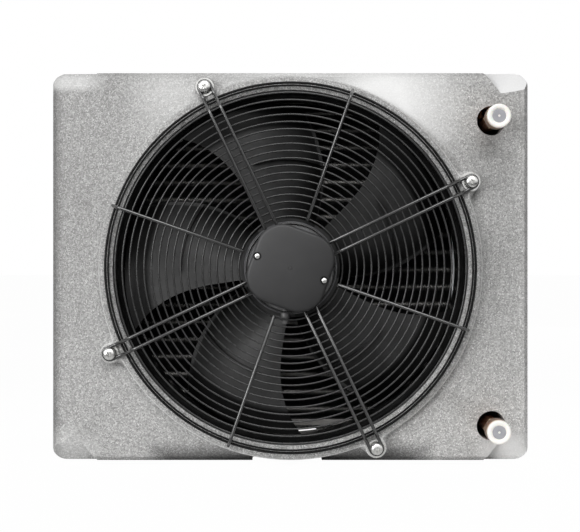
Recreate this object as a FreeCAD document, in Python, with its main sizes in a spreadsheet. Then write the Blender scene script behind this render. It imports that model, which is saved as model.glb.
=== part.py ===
import FreeCAD
import Part
import Sketcher
import math
import os
import re
from FreeCAD import Placement, Rotation, Vector

# Row frame, in millimetres: X to the right as seen from the fan side, Y towards the air outlet, Z up.
# The origin lies on the base plane, midway between the two lower bracket inserts, below the fan axis.

SIZES = [
    ("blade_tip", 225, "fan axis to the blade tips"),
    ("tip_gap", 4, "between the blade tips and the fan nozzle"),
    ("throat_radius", "=blade_tip + tip_gap", "inside of the fan nozzle"),
    ("nozzle_wall", 3, "wall of the fan nozzle"),
    ("nozzle_flare", 6, "how much the bell mouth opens"),
    ("collar_wall", 20, "foam round the bell mouth"),
    ("collar_radius", "=throat_radius + nozzle_wall + nozzle_flare + collar_wall", "outside of the foam collar"),
    ("collar_under", 6, "base to the lowest point of the collar"),
    ("collar_above", 8, "highest point of the collar to the top of the casing"),
    ("fan_height", "=collar_radius + collar_under", "base to the fan axis"),
    ("casing_height", "=fan_height + collar_radius + collar_above", "casing, base to top"),
    ("casing_width", 650, "casing, left to right"),
    ("casing_corner", 18, "corner radius of the casing seen from behind"),
    ("rim_depth", 140, "origin back to the plane of the rear rim"),
    ("rim_round", 8, "depth of the rounded rear rim"),
    ("rim_inset", 6, "how far the rear rim is drawn in"),
    ("front_depth", 170, "origin forward to the front face"),
    ("front_inset", 10, "bevel round the front face"),
    ("parting_depth", 40, "origin forward to the joint of the two shells"),
    ("wall_back", 36, "foam behind the coil chamber, at the rim"),
    ("wall_base", 25, "foam under the coil chamber"),
    ("wall_top", 22, "foam over the coil chamber"),
    ("wall_left", 50, "foam beside the coil chamber, left"),
    ("wall_right", 33, "foam beside the coil chamber, right"),
    ("collar_rise", 30, "rear rim to the face that the guard is bolted to"),
    ("collar_bevel", 4, "bevel round the collar's outer edge"),
    ("collar_sink", 6, "how far the collar runs into the foam under it"),
    ("shoulder_rise", 18, "rear rim to the top of the sloping shoulder"),
    ("shoulder_tuck", 2, "how far the top of the shoulder lies inside the collar's edge"),
    ("shoulder_radius", "=collar_radius - shoulder_tuck", "top of the sloping shoulder"),
    ("lobe_radius", 14, "foam round each guard bolt"),
    ("lobe_blend", 15, "hollow blend between lobe and collar"),
    ("bolt_past", 9.5, "how far the guard bolts lie outside the collar's edge"),
    ("bolt_circle", "=collar_radius + bolt_past", "fan axis to the guard bolts"),
    ("bolt_angle", 25.45, "first guard bolt above the horizontal, degrees"),
    ("notch_left", 52, "cable gap in the base, left of the fan axis"),
    ("notch_right", 43, "cable gap in the base, right of the fan axis"),
    ("notch_rise", 6, "height of the cable gap"),
    ("drain_start", 100, "origin back to the start of the drain slot"),
    ("drain_end", 120, "origin forward to the end of the drain slot"),
    ("ramp_rise", 23, "height of the sloped corner recesses"),
    ("ramp_sink", 16, "depth of the sloped corner recesses"),
    ("ramp_width", 43, "width of the corner recesses at their crease"),
    ("ramp_flare", 20, "how much wider they are at the outer edge"),
    ("pipe_hole", 20, "radius of the pipe holes in the foam"),
    ("seat_gap", 0.3, "clearance between pieces that are fitted together"),
    ("nozzle_sunk", 4, "how far the nozzle's lip lies behind the collar's face"),
    ("nozzle_start", "=rim_depth + collar_rise - nozzle_sunk", "origin back to the nozzle's lip"),
    ("nozzle_bell", 15, "depth of the bell mouth"),
    ("nozzle_bow", 24, "radius of the bell mouth's curve"),
    ("nozzle_past", 1, "how far the nozzle stands out of the foam into the coil chamber"),
    ("nozzle_end", "=rim_depth - wall_back - nozzle_past", "origin back to the nozzle's far end"),
    ("arm_wire", 4.5, "guard arm and spoke wire"),
    ("wire_sides", 8, "sides of the arm and spoke wire's section"),
    ("guard_rise", 26.5, "collar's face to the middle of the arm wire"),
    ("arm_level", "=rim_depth + collar_rise + guard_rise", "origin back to the middle of the arm wire"),
    ("arm_inner", 36, "fan axis to the arms' inner ends"),
    ("arm_foot", 6, "how far inside the collar's edge the arms reach its face"),
    ("arm_run", 18, "how far outwards the arms run while they come down"),
    ("arm_landing", "=collar_radius - arm_foot", "fan axis to where the arms reach the collar"),
    ("arm_knee", "=arm_landing - arm_run", "fan axis to where the arms turn down"),
    ("arm_bend", 12, "bend radius of the arm wire"),
    ("hairpin_half", 8, "half the distance between an arm's two wires"),
    ("spoke_inner", 66, "fan axis to the spokes' inner ends"),
    ("spoke_angle", 70.7, "first single spoke above the horizontal, degrees"),
    ("rim_ring_tuck", 10.6, "outer one of the two rim rings, inside the collar's edge"),
    ("rim_ring_gap", 4.4, "between the two rim rings"),
    ("rim_ring_outer", "=collar_radius - rim_ring_tuck", "outer one of the two rim rings"),
    ("rim_ring_inner", "=rim_ring_outer - rim_ring_gap", "inner one of the two rim rings"),
    ("spoke_turn", 1.5, "how far inside the inner rim ring the spokes turn down"),
    ("spoke_past", 3.6, "how far the spokes end outside the outer rim ring"),
    ("spoke_knee", "=rim_ring_inner - spoke_turn", "fan axis to where the spokes turn down"),
    ("spoke_reach", "=rim_ring_outer + spoke_past", "fan axis to the spokes' outer ends"),
    ("spoke_drop", 19, "how far the spokes' ends turn down"),
    ("spoke_bend", 8, "bend radius of the spokes' ends"),
    ("ring_wire", 2.5, "guard ring wire"),
    ("ring_sides", 40, "straight pieces that each ring wire is drawn with"),
    ("ring_first", 58.9, "radius of the innermost ring"),
    ("ring_pitch", 9.6, "distance between rings"),
    ("ring_count", "=floor((spoke_knee - spoke_bend / 2 - ring_first) / ring_pitch) + 1",
     "rings in the face of the guard"),
    ("rim_ring_step", 3, "depth between the two rim rings"),
    ("weld_sink", 0.1, "how far welded wires sink into each other"),
    ("washer_radius", 12.5, "guard washers"),
    ("washer_thick", 2, "guard washers"),
    ("bolt_radius", 4, "guard bolts, M8"),
    ("bolt_head", 8, "guard bolt head radius"),
    ("bolt_head_height", 5.5, "guard bolt head"),
    ("bolt_head_bevel", 2, "bevel round the bolt heads"),
    ("bolt_length", 30, "guard bolt shank under the head"),
    ("insert_radius", 7, "threaded inserts in the foam"),
    ("insert_length", 22, "threaded inserts in the foam"),
    ("cap_across", 105, "motor cap across its flats"),
    ("cap_corner", 34.5, "motor cap corner radius"),
    ("cap_height", 18, "motor cap"),
    ("cap_bevel", 4, "bevel round the motor cap"),
    ("cap_turn", -20, "motor cap turned about the fan axis, degrees"),
    ("cap_lift", 7.5, "middle of the arm wire to the motor cap's foot"),
    ("cap_start", "=arm_level + cap_lift", "origin back to the motor cap's foot"),
    ("cap_screw_place", 46.2, "fan axis to the cap screws"),
    ("cap_screw_radius", 3.6, "cap screw head radius"),
    ("cap_screw_shank", 2, "cap screw shank radius"),
    ("cap_screw_sink", 2, "depth of the pockets for the cap screws"),
    ("gasket_thick", 2, "gasket under the motor cap"),
    ("base_thick", 3, "terminal base plate of the motor"),
    ("flange_radius", 55, "stator flange"),
    ("flange_thick", 8, "stator flange"),
    ("tube_radius", 19, "outside of the stator's bearing tube"),
    ("bearing_outer", 14, "motor bearings, outside radius"),
    ("bearing_inner", 6, "motor bearings, bore radius"),
    ("bearing_wide", 8, "motor bearings"),
    ("run_gap", 0.05, "running clearance of the shaft"),
    ("stack_radius", 52, "stator stack"),
    ("stack_back", 24.5, "middle of the arm wire to the stator stack"),
    ("stack_long", 50, "stator stack"),
    ("tube_past", 10, "how far the bearing tube stands out of the stator stack"),
    ("stack_start", "=arm_level - stack_back", "origin back to the stator stack's near end"),
    ("stack_end", "=stack_start - stack_long", "origin back to the stator stack's far end"),
    ("tube_end", "=stack_end - tube_past", "origin back to the bearing tube's end"),
    ("coil_ring", 44, "outside of the stator's end windings"),
    ("coil_ring_rise", 6, "height of the end windings"),
    ("coil_ring_gap", 4, "between the bearing tube and the end windings"),
    ("shaft_past", 4, "how far the shaft stands out of its near bearing"),
    ("magnet_thick", 4, "magnets inside the rotor"),
    ("rotor_radius", 62, "outside of the rotor"),
    ("rotor_wall", 4, "wall of the rotor"),
    ("rotor_back", 18.5, "middle of the arm wire to the rotor's open end"),
    ("rotor_long", 80, "rotor"),
    ("rotor_start", "=arm_level - rotor_back", "origin back to the rotor's open end"),
    ("rotor_end", "=rotor_start - rotor_long", "origin back to the rotor's closed end"),
    ("hub_wall", 4, "hub ring of the impeller"),
    ("hub_back", 4, "rotor's open end to the hub ring"),
    ("hub_past", 2, "how far the hub ring stands past the rotor's closed end"),
    ("hub_start", "=rotor_start - hub_back", "origin back to the hub ring's near end"),
    ("hub_end", "=rotor_end - hub_past", "origin back to the hub ring's far end"),
    ("blade_count", 5, "blades"),
    ("blade_thick", 3.6, "blade thickness at mid chord"),
    ("blade_edge", 1.2, "blade thickness at its edges"),
    ("blade_camber", 9, "how far a blade bows back"),
    ("blade_lead_root", 122.3, "leading edge at the hub, degrees"),
    ("blade_lead_waist", 120.7, "leading edge halfway out, degrees"),
    ("blade_lead_tip", 129.8, "leading edge at the tip, degrees"),
    ("blade_trail_root", 60, "trailing edge at the hub, degrees"),
    ("blade_trail_waist", 71.5, "trailing edge halfway out, degrees"),
    ("blade_trail_tip", 87, "trailing edge at the tip, degrees"),
    ("lead_back", 6, "hub ring's near end to the leading edge"),
    ("lead_sweep", 11, "how much deeper the leading edge lies at the tip"),
    ("trail_inside", 6, "trailing edge to the hub ring's far end"),
    ("trail_sweep", 12, "how much shallower the trailing edge lies at the tip"),
    ("lead_depth_root", "=hub_start - lead_back", "origin back to the leading edge, at the hub"),
    ("lead_depth_tip", "=lead_depth_root - lead_sweep", "origin back to the leading edge, at the tip"),
    ("trail_depth_root", "=hub_end + trail_inside", "origin back to the trailing edge, at the hub"),
    ("trail_depth_tip", "=trail_depth_root + trail_sweep", "origin back to the trailing edge, at the tip"),
    ("fence_inner", 147.8, "radius of the inner flow fence"),
    ("fence_outer", 195.5, "radius of the outer flow fence"),
    ("fence_height", 7, "flow fences"),
    ("fence_thick", 1.8, "flow fences"),
    ("fence_inner_start", 0.24, "share of the chord where the inner fence starts"),
    ("fence_outer_start", 0.13, "share of the chord where the outer fence starts"),
    ("tube_pitch", 25, "coil tubes, one above the other"),
    ("tube_first", 59, "base to the lowest coil tube"),
    ("baffle_drop", 9, "flange of the coil's top and bottom plates"),
    ("tube_rows", "=floor((casing_height - wall_top - baffle_drop - tube_first) / tube_pitch + 0.5)",
     "levels of coil tubes"),
    ("tube_depth", 22, "between the two rows of coil tubes"),
    ("tube_size", 4.8, "coil tube radius"),
    ("tube_sides", 8, "sides of the coil tube's section"),
    ("coil_back", 62, "origin back to the fins' near edge"),
    ("coil_thick", 44, "depth of the fins"),
    ("coil_beside", 94, "side of the casing to the fin pack"),
    ("coil_half", "=casing_width / 2 - coil_beside", "half the width of the fin pack"),
    ("fin_pitch", 7.7, "between fins"),
    ("fin_thick", 0.5, "fins"),
    ("plate_thick", 1.5, "coil end plates"),
    ("plate_flange", 14, "flanges of the coil end plates"),
    ("header_radius", 11, "headers and stub pipes"),
    ("header_wall", 1.5, "wall of the headers and stub pipes"),
    ("header_foot", 2, "how far the supply header runs on below its stub"),
    ("header_spread", 14, "half the depth between the two headers"),
    ("header_end", 13, "header beyond its last tube"),
    ("stub_beside", 52.3, "side of the casing to the stub pipes"),
    ("stub_across", "=casing_width / 2 - stub_beside", "fan axis to the stub pipes"),
    ("stub_under", 66.8, "top of the casing to the upper stub"),
    ("stub_upper", "=casing_height - stub_under", "base to the upper stub"),
    ("stub_lower", 49.2, "base to the lower stub"),
    ("fitting_out", 32, "rear rim to the fittings' shoulder"),
    ("fitting_socket", 8, "how far the stub pipes reach into the fittings"),
    ("fitting_start", "=rim_depth + fitting_out", "origin back to the fittings' shoulder"),
    ("stub_end", "=fitting_start + fitting_socket", "origin back to the stub pipes' ends"),
    ("fitting_wide", 15, "fitting hexagon, circumscribed radius"),
    ("fitting_long", 12, "fitting hexagon"),
    ("thread_radius", 13.22, "outside of the G3/4 thread"),
    ("thread_long", 20, "length of the thread"),
    ("thread_bore", 9, "bore of the fittings"),
    ("stub_cap_radius", 15.8, "protective caps, outside"),
    ("stub_cap_round", 1.5, "bevel round the caps' ends"),
    ("stub_cap_wall", 2.2, "protective caps"),
    ("stub_cap_long", 25, "protective caps"),
    ("stub_cap_dish", 9.8, "radius of the dished end of the caps"),
    ("stub_cap_sink", 1.2, "depth of the dished end"),
    ("outlet_past", 7, "how much wider than the fin pack the outlet is, each side"),
    ("outlet_half", "=coil_half + outlet_past", "half the width of the air outlet"),
    ("outlet_low", 46, "base to the air outlet"),
    ("outlet_above", 44, "air outlet to the top of the casing"),
    ("outlet_tall", "=casing_height - outlet_low - outlet_above", "height of the air outlet"),
    ("coil_rim", 22, "foam round the outlet duct behind the joint"),
    ("louvre_count", 5, "louvres"),
    ("louvre_depth", 124, "origin forward to the louvres' pins"),
    ("louvre_chord", 74, "louvre, front to back"),
    ("louvre_edge", 1.6, "louvre thickness at its edges"),
    ("louvre_bow", 170, "radius of the louvre's upper face"),
    ("louvre_spine", 5.5, "radius of the louvre's spine"),
    ("pin_radius", 4, "louvre pins"),
    ("pin_long", 10, "louvre pins"),
    ("rail_wide", 12, "louvre rails, across"),
    ("louvre_side_gap", 1, "between the louvres and their rails"),
    ("rail_deep", 40, "louvre rails, front to back"),
    ("bracket_half", 100, "half the distance between the bracket inserts"),
    ("bracket_bore", 4, "bore of the bracket inserts, M8"),
    ("bracket_sleeve", 8, "outside of the bracket inserts"),
    ("gland_radius", 6, "cable gland"),
    ("gland_bore", 3.25, "cable gland bore"),
    ("gland_long", 19, "cable gland"),
    ("gland_taper", 2, "how much the cable gland's mouth is drawn in"),
    ("gland_across", 7, "cable gland, left of the fan axis"),
    ("gland_back", 11.2, "middle of the arm wire to the middle of the cable gland"),
    ("gland_depth", "=arm_level - gland_back", "origin back to the middle of the cable gland"),
]

doc = FreeCAD.newDocument("water_fan_heater")
sheet = doc.addObject("Spreadsheet::Sheet", "size")
for line, (alias, value, meaning) in enumerate(SIZES, 1):
    sheet.set(f"A{line}", meaning)
    sheet.set(f"B{line}", str(value))
    sheet.setAlias(f"B{line}", alias)
doc.recompute()

nodes = []


def rule(text):
    """Turns the names in a formula into references to the sheet's cells."""
    return re.sub(r"\b([a-z][a-z_]+)\b(?!\()", r"size.\1", text)


def number(text):
    """The present value of a formula."""
    return float(sheet.evalExpression(rule(text)))


def bind(thing, what, text):
    thing.setExpression(what, rule(text))


def place(thing, at=("0", "0", "0"), turn=None):
    """Puts a piece at three formulas, turned by a rotation that the formulas don't touch."""
    if turn is not None:
        thing.Placement = Placement(Vector(), turn)
    for axis, text in zip("xyz", at):
        bind(thing, "Placement.Base." + axis, text)


def node(thing, label=None):
    """Marks a finished piece, which is written to its own file."""
    if label:
        thing.Label = label
    nodes.append(thing)
    return thing


def primitive(kind, name, at=("0", "0", "0"), turn=None, **sizes):
    """A box, cylinder or prism with its sizes and place bound to the sheet."""
    thing = doc.addObject("Part::" + kind, name)
    for what, text in sizes.items():
        bind(thing, what, text)
    place(thing, at, turn)
    return thing


def box(name, low, high):
    """A box between two corners, each given by three formulas."""
    spans = [f"({b}) - ({a})" for a, b in zip(low, high)]
    return primitive("Box", name, low, Length=spans[0], Width=spans[1], Height=spans[2])


# Turns a piece that is drawn along Z so that it points along +Y, or along -Y.
FORWARD = Rotation(Vector(1, 0, 0), -90)
BACKWARD = Rotation(Vector(1, 0, 0), 90)
SIDEWAYS = Rotation(Vector(0, 1, 0), 90)


def fuse(name, parts):
    thing = doc.addObject("Part::MultiFuse", name)
    thing.Shapes = parts
    return thing


def cut(name, base, tools):
    thing = doc.addObject("Part::Cut", name)
    thing.Base = base
    thing.Tool = tools[0] if len(tools) == 1 else fuse(name + "_cuts", tools)
    return thing


def shaped(name, shape, at=None):
    """A piece whose shape is made with Part's own functions from the sheet's values."""
    thing = doc.addObject("Part::Feature", name)
    thing.Shape = shape
    if at:
        place(thing, at)
    return thing


def body(name, at=("0", "0", "0"), turn=None):
    thing = doc.addObject("PartDesign::Body", name)
    place(thing, at, turn)
    return thing


def sketch_on(piece, role, offset="0"):
    """An empty sketch on one of the body's own origin planes, moved along its normal."""
    sketch = piece.newObject("Sketcher::SketchObject", piece.Name + "_sketch")
    planes = {feature.Role: feature for feature in piece.Origin.OriginFeatures}
    sketch.AttachmentSupport = [(planes[role], "")]
    sketch.MapMode = "FlatFace"
    bind(sketch, "AttachmentOffset.Base.z", offset)
    return sketch


def hold(sketch, axis, geometry, end, text):
    """Holds a point at a distance from the sketch's origin, along one axis."""
    if text == "0":
        sketch.addConstraint(Sketcher.Constraint("PointOnObject", geometry, end, -2 if axis == "X" else -1))
        return
    at = sketch.addConstraint(Sketcher.Constraint("Distance" + axis, -1, 1, geometry, end, number(text)))
    bind(sketch, f"Constraints[{at}]", text)


def bowed_side(start, end, radius, way):
    """An arc between two corners; way is 1 where it turns left and -1 where it turns right."""
    middle = (start + end) / 2
    across = (end - start) / 2
    normal = Vector(-across.y, across.x, 0).normalize() * way
    centre = middle + normal * math.sqrt(radius**2 - across.Length**2)
    first, last = (start, end) if way > 0 else (end, start)
    angles = [math.atan2(point.y - centre.y, point.x - centre.x) for point in (first, last)]
    return Part.ArcOfCircle(Part.Circle(centre, Vector(0, 0, 1), radius), *angles)


def outline(sketch, corners, bows=None):
    """Draws a closed outline; every corner is held by formulas, and bowed sides by their radius too."""
    bows = bows or {}
    points = [Vector(number(x), number(y), 0) for x, y in corners]
    ends = []
    for index, start in enumerate(points):
        end = points[(index + 1) % len(points)]
        if index in bows:
            radius, way = bows[index]
            at = sketch.addGeometry(bowed_side(start, end, number(radius), way))
            bow = sketch.addConstraint(Sketcher.Constraint("Radius", at, number(radius)))
            bind(sketch, f"Constraints[{bow}]", radius)
            ends.append((at, 1, 2) if way > 0 else (at, 2, 1))
        else:
            at = sketch.addGeometry(Part.LineSegment(start, end))
            ends.append((at, 1, 2))
    for index, (geometry, start, _) in enumerate(ends):
        before, _, last = ends[index - 1]
        sketch.addConstraint(Sketcher.Constraint("Coincident", before, last, geometry, start))
        hold(sketch, "X", geometry, start, corners[index][0])
        hold(sketch, "Y", geometry, start, corners[index][1])


def rounded(left, right, low, high, radius):
    """Corners and bows of a rectangle with rounded corners, from the right side up and round."""
    r = radius
    corners = [
        (right, f"({low}) + ({r})"), (right, f"({high}) - ({r})"),
        (f"({right}) - ({r})", high), (f"({left}) + ({r})", high),
        (left, f"({high}) - ({r})"), (left, f"({low}) + ({r})"),
        (f"({left}) + ({r})", low), (f"({right}) - ({r})", low),
    ]
    return corners, {side: (r, 1) for side in (1, 3, 5, 7)}


def pad(piece, sketch, length, midplane=False):
    feature = piece.newObject("PartDesign::Pad", piece.Name + "_pad")
    feature.Profile = sketch
    feature.Midplane = midplane
    bind(feature, "Length", length)
    sketch.Visibility = False
    return feature


def turned(name, corners, at, bows=None, turn=None):
    """A body turned about its own Y axis; corners are (radius, depth) formulas."""
    piece = body(name, at, turn)
    sketch = sketch_on(piece, "XY_Plane")
    outline(sketch, corners, bows)
    feature = piece.newObject("PartDesign::Revolution", name + "_turning")
    feature.Profile = sketch
    feature.ReferenceAxis = (sketch, ["V_Axis"])
    return piece


def sleeve(inner, outer, start, end):
    """Profile of a plain ring between two radii and two depths."""
    return [(inner, start), (outer, start), (outer, end), (inner, end)]


def group(label, source, placements):
    """Identical solids in one node, copied from one piece."""
    doc.recompute()
    copies = []
    for placement in placements:
        copy = source.Shape.copy()
        copy.Placement = placement.multiply(copy.Placement)
        copies.append(copy)
    return node(shaped(label, Part.makeCompound(copies)))


def about_fan(angle):
    """Turns a piece about the fan axis; positive is the way the fan runs."""
    centre = Vector(0, 0, number("fan_height"))
    return Placement(Vector(), Rotation(Vector(0, -1, 0), angle), centre)


def fan_point(radius, angle, depth):
    """A point by its distance from the fan axis, its angle in degrees and its depth."""
    turn = math.radians(angle)
    return Vector(radius * math.cos(turn), depth, number("fan_height") + radius * math.sin(turn))


def rounded_path(points, radii):
    """Straight runs joined by tangent arcs; radii are for the inner points."""
    edges = []
    start = points[0]
    for index, radius in enumerate(radii, 1):
        corner = points[index]
        into = (points[index - 1] - corner).normalize()
        out = (points[index + 1] - corner).normalize()
        half = into.getAngle(out) / 2
        reach = radius / math.tan(half)
        middle = (into + out).normalize() * (radius / math.sin(half) - radius)
        first = corner + into * reach
        last = corner + out * reach
        if (first - start).Length > 1e-6:
            edges.append(Part.makeLine(start, first))
        edges.append(Part.Arc(first, corner + middle, last).toShape())
        start = last
    if (points[-1] - start).Length > 1e-6:
        edges.append(Part.makeLine(start, points[-1]))
    return Part.Wire(edges)


def bent_wire(points, radii, diameter):
    """Drawn wire, kept light with a many-sided section, along straight runs and bends."""
    sides = int(number("wire_sides"))
    along = (points[1] - points[0]).normalize()
    across = along.cross(Vector(0, 1, 0)).normalize()
    above = along.cross(across)
    ring = []
    for step in range(sides + 1):
        turn = 2 * math.pi * (step + 0.5) / sides
        ring.append(points[0] + (across * math.cos(turn) + above * math.sin(turn)) * (diameter / 2))
    return rounded_path(points, radii).makePipeShell([Part.makePolygon(ring)], True, False)


# Outline of the foam collar: a circle with a lobe round each guard bolt, and hollow blends between.
def collar_wire(inset, depth):
    big = number("collar_radius") - inset
    lobe = number("lobe_radius") - inset
    blend = number("lobe_blend") + inset
    reach = number("bolt_circle")
    cosine = ((big + blend) ** 2 + reach**2 - (lobe + blend) ** 2) / (2 * (big + blend) * reach)
    spread = math.degrees(math.acos(cosine))
    edges = []
    for quarter in range(4):
        bolt = number("bolt_angle") + quarter * 90
        centre = fan_point(reach, bolt, -depth)
        pivots = [fan_point(big + blend, bolt + side * spread, -depth) for side in (-1, 1)]
        leave = [fan_point(big, bolt + side * spread, -depth) for side in (-1, 1)]
        touch = [centre + (pivot - centre).normalize() * lobe for pivot in pivots]
        tip = fan_point(reach + lobe, bolt, -depth)
        bends = []
        for pivot, first, last in zip(pivots, leave, touch):
            middle = pivot + ((first - pivot) + (last - pivot)).normalize() * blend
            bends.append([first, middle, last])
        following = fan_point(big, bolt + 90 - spread, -depth)
        between = fan_point(big, bolt + 45, -depth)
        sides = [bends[0], [touch[0], tip, touch[1]], bends[1][::-1], [leave[1], between, following]]
        edges += [Part.Arc(*points).toShape() for points in sides]
    return Part.Wire(edges)


def rectangle_wire(inset, depth):
    """The casing's rounded outline as eight edges, starting at the right side, in ring order."""
    half = number("casing_width") / 2 - inset
    low = inset
    high = number("casing_height") - inset
    corner = number("casing_corner") - inset
    diagonal = corner * (1 - math.sqrt(0.5))
    centres = [(half, high, -1, -1), (-half, high, 1, -1), (-half, low, 1, 1), (half, low, -1, 1)]
    arcs = []
    for index, (x, z, to_x, to_z) in enumerate(centres):
        beside = Vector(x, -depth, z + to_z * corner)
        along = Vector(x + to_x * corner, -depth, z)
        middle = Vector(x + to_x * diagonal, -depth, z + to_z * diagonal)
        ends = (beside, along) if index % 2 == 0 else (along, beside)
        arcs.append((ends[0], middle, ends[1]))
    edges = []
    for index, (first, middle, last) in enumerate(arcs):
        edges.append(Part.Arc(first, middle, last).toShape())
        edges.append(Part.makeLine(last, arcs[(index + 1) % 4][0]))
    return Part.Wire(edges)


def split_circle_wire(radius, depth):
    """A circle cut into eight arcs that face the eight edges of the casing's outline."""
    half = number("casing_width") / 2
    corner = number("casing_corner")
    above = number("casing_height - fan_height")
    below = number("fan_height")
    ends = [
        (half, above - corner), (half - corner, above), (corner - half, above), (-half, above - corner),
        (-half, corner - below), (corner - half, -below), (half - corner, -below), (half, corner - below),
    ]
    angles = [math.degrees(math.atan2(z, x)) for x, z in ends]
    angles = [angle if angle > angles[0] - 1e-6 else angle + 360 for angle in angles]
    edges = []
    for first, last in zip(angles, angles[1:] + [angles[0] + 360]):
        points = [fan_point(radius, angle, -depth) for angle in (first, (first + last) / 2, last)]
        edges.append(Part.Arc(*points).toShape())
    return Part.Wire(edges)


def corner_ramp(side, top):
    """The sloped recess in one rear corner of the casing, as a cutting solid."""
    half = number("casing_width") / 2 + 1
    edge = number("casing_height") if top else 0
    way = 1 if top else -1
    rise = number("ramp_rise")
    rim = -number("rim_depth")
    sink = number("ramp_sink")
    slope = sink / rise
    crease = half - number("ramp_width")
    flare = crease - number("ramp_flare")
    out = 2

    def triangle(x_crease, x_edge):
        near = Vector(side * x_crease, rim - out * slope, edge - way * (rise + out))
        deep = Vector(side * x_edge, rim + sink + out * slope, edge + way * out)
        high = Vector(side * x_edge, rim - out * slope, edge + way * out)
        return Part.makePolygon([near, deep, high, near])

    return Part.makeLoft([triangle(half, half), triangle(crease, flare)], True, True)


# The rear foam shell: block, sloping shoulder and collar, less the coil chamber and every hole.
def make_rear_shell():
    block = body("rear_block")
    sketch = sketch_on(block, "XZ_Plane", "-(parting_depth)")
    sides = ("-casing_width / 2", "casing_width / 2", "0", "casing_height")
    outline(sketch, *rounded(*sides, "casing_corner"))
    pad(block, sketch, "parting_depth + rim_depth - rim_round")
    rim = number("rim_depth")
    shoulder = shaped("rear_shoulder", Part.makeLoft([
        rectangle_wire(0, rim - number("rim_round")),
        rectangle_wire(number("rim_inset"), rim),
        split_circle_wire(number("shoulder_radius"), rim + number("shoulder_rise")),
    ], True, True))
    face = rim + number("collar_rise")
    collar = shaped("rear_collar", Part.makeLoft([
        collar_wire(0, rim + number("collar_sink")),
        collar_wire(0, face - number("collar_bevel")),
        collar_wire(number("collar_bevel"), face),
    ], True, True))
    solid = fuse("rear_solid", [block, shoulder, collar])
    chamber = box(
        "rear_chamber",
        ("wall_left - casing_width / 2", "wall_back - rim_depth", "wall_base"),
        ("casing_width / 2 - wall_right", "parting_depth + 1", "casing_height - wall_top"),
    )
    axis = ("0", "1 - rim_depth - collar_rise - 2", "fan_height")
    lip = primitive("Cylinder", "rear_lip_bore", axis, FORWARD,
                    Radius="throat_radius + nozzle_wall + nozzle_flare + seat_gap",
                    Height="1 + rim_depth + collar_rise - nozzle_start + nozzle_bell"
                           " + nozzle_wall / 2 + seat_gap")
    throat = primitive("Cylinder", "rear_throat_bore", axis, FORWARD,
                       Radius="throat_radius + nozzle_wall + seat_gap",
                       Height="collar_rise + wall_back + 2")
    tools = [chamber, lip, throat]
    for name in ("upper", "lower"):
        at = ("stub_across", "-rim_depth - shoulder_rise", "stub_" + name)
        tools.append(primitive("Cylinder", f"rear_{name}_hole", at, FORWARD,
                               Radius="pipe_hole", Height="shoulder_rise + wall_back + 1"))
    tools += base_cuts("rear", "-rim_depth - collar_rise", "parting_depth + 1", "-drain_start",
                       "parting_depth + 1")
    tools += [insert_bore("rear_base", "-1"), insert_bore("rear_top", "casing_height - wall_top - 1")]
    for side in (-1, 1):
        for top in (False, True):
            tools.append(shaped("rear_ramp", corner_ramp(side, top)))
    for quarter in range(4):
        tools.append(bolt_bore(quarter))
    node(cut("rear_shell", solid, tools))


def base_cuts(name, start, end, slot_start, slot_end):
    """The shallow cable gap along the base and the drain slot above it."""
    gap = box(name + "_gap", ("-notch_left", start, "-1"), ("notch_right", end, "notch_rise"))
    slot = box(name + "_drain", ("-notch_left", slot_start, "-1"), ("notch_right", slot_end, "wall_base + 1"))
    return [gap, slot]


def insert_bore(name, low):
    """Holes for the two bracket inserts in the base or in the top."""
    holes = []
    for side in ("-", ""):
        at = (side + "bracket_half", "0", low)
        holes.append(primitive("Cylinder", name + "_hole", at,
                               Radius="bracket_sleeve + seat_gap / 3", Height="wall_base + 2"))
    return fuse(name + "_holes", holes)


def bolt_bore(quarter):
    """The hole in the collar for one guard bolt and its insert."""
    angle = f"(bolt_angle + {quarter * 90})"
    at = (f"bolt_circle * cos({angle})", "-rim_depth - collar_rise - 1",
          f"fan_height + bolt_circle * sin({angle})")
    return primitive("Cylinder", "rear_bolt_bore", at, FORWARD,
                     Radius="insert_radius + seat_gap / 3", Height="insert_length + 1 + bolt_length / 2")


# The front foam shell: block with a bevelled face, a rim that holds the coil, and the outlet duct.
def make_front_shell():
    front = number("front_depth")
    block = shaped("front_block", Part.makeLoft([
        rectangle_wire(0, -number("parting_depth") - number("seat_gap")),
        rectangle_wire(0, -front + number("front_inset")),
        rectangle_wire(number("front_inset"), -front),
    ], True, True))
    rim = box(
        "front_coil_rim",
        ("-outlet_half - coil_rim", "coil_thick - coil_back + plate_thick + seat_gap", "wall_base + seat_gap"),
        ("outlet_half + coil_rim", "parting_depth + 1", "casing_height - wall_top - seat_gap"),
    )
    duct = box(
        "front_duct",
        ("-outlet_half", "-coil_back", "outlet_low"),
        ("outlet_half", "front_depth + 1", "outlet_low + outlet_tall"),
    )
    cuts = base_cuts("front", "-coil_back", "front_depth + 1", "-coil_back", "drain_end")
    node(cut("front_shell", fuse("front_solid", [block, rim]), [duct] + cuts))


# The fan nozzle: a bell mouth that runs into the cylinder round the blade tips.
def make_nozzle():
    corners = [
        ("throat_radius", "-nozzle_end"),
        ("throat_radius", "nozzle_bell - nozzle_start"),
        ("throat_radius + nozzle_flare", "-nozzle_start"),
        ("throat_radius + nozzle_flare + nozzle_wall", "-nozzle_start"),
        ("throat_radius + nozzle_wall", "nozzle_bell - nozzle_start + nozzle_wall / 2"),
        ("throat_radius + nozzle_wall", "-nozzle_end"),
    ]
    node(turned("fan_nozzle", corners, ("0", "0", "fan_height"), {1: ("nozzle_bow", -1)}))


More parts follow.
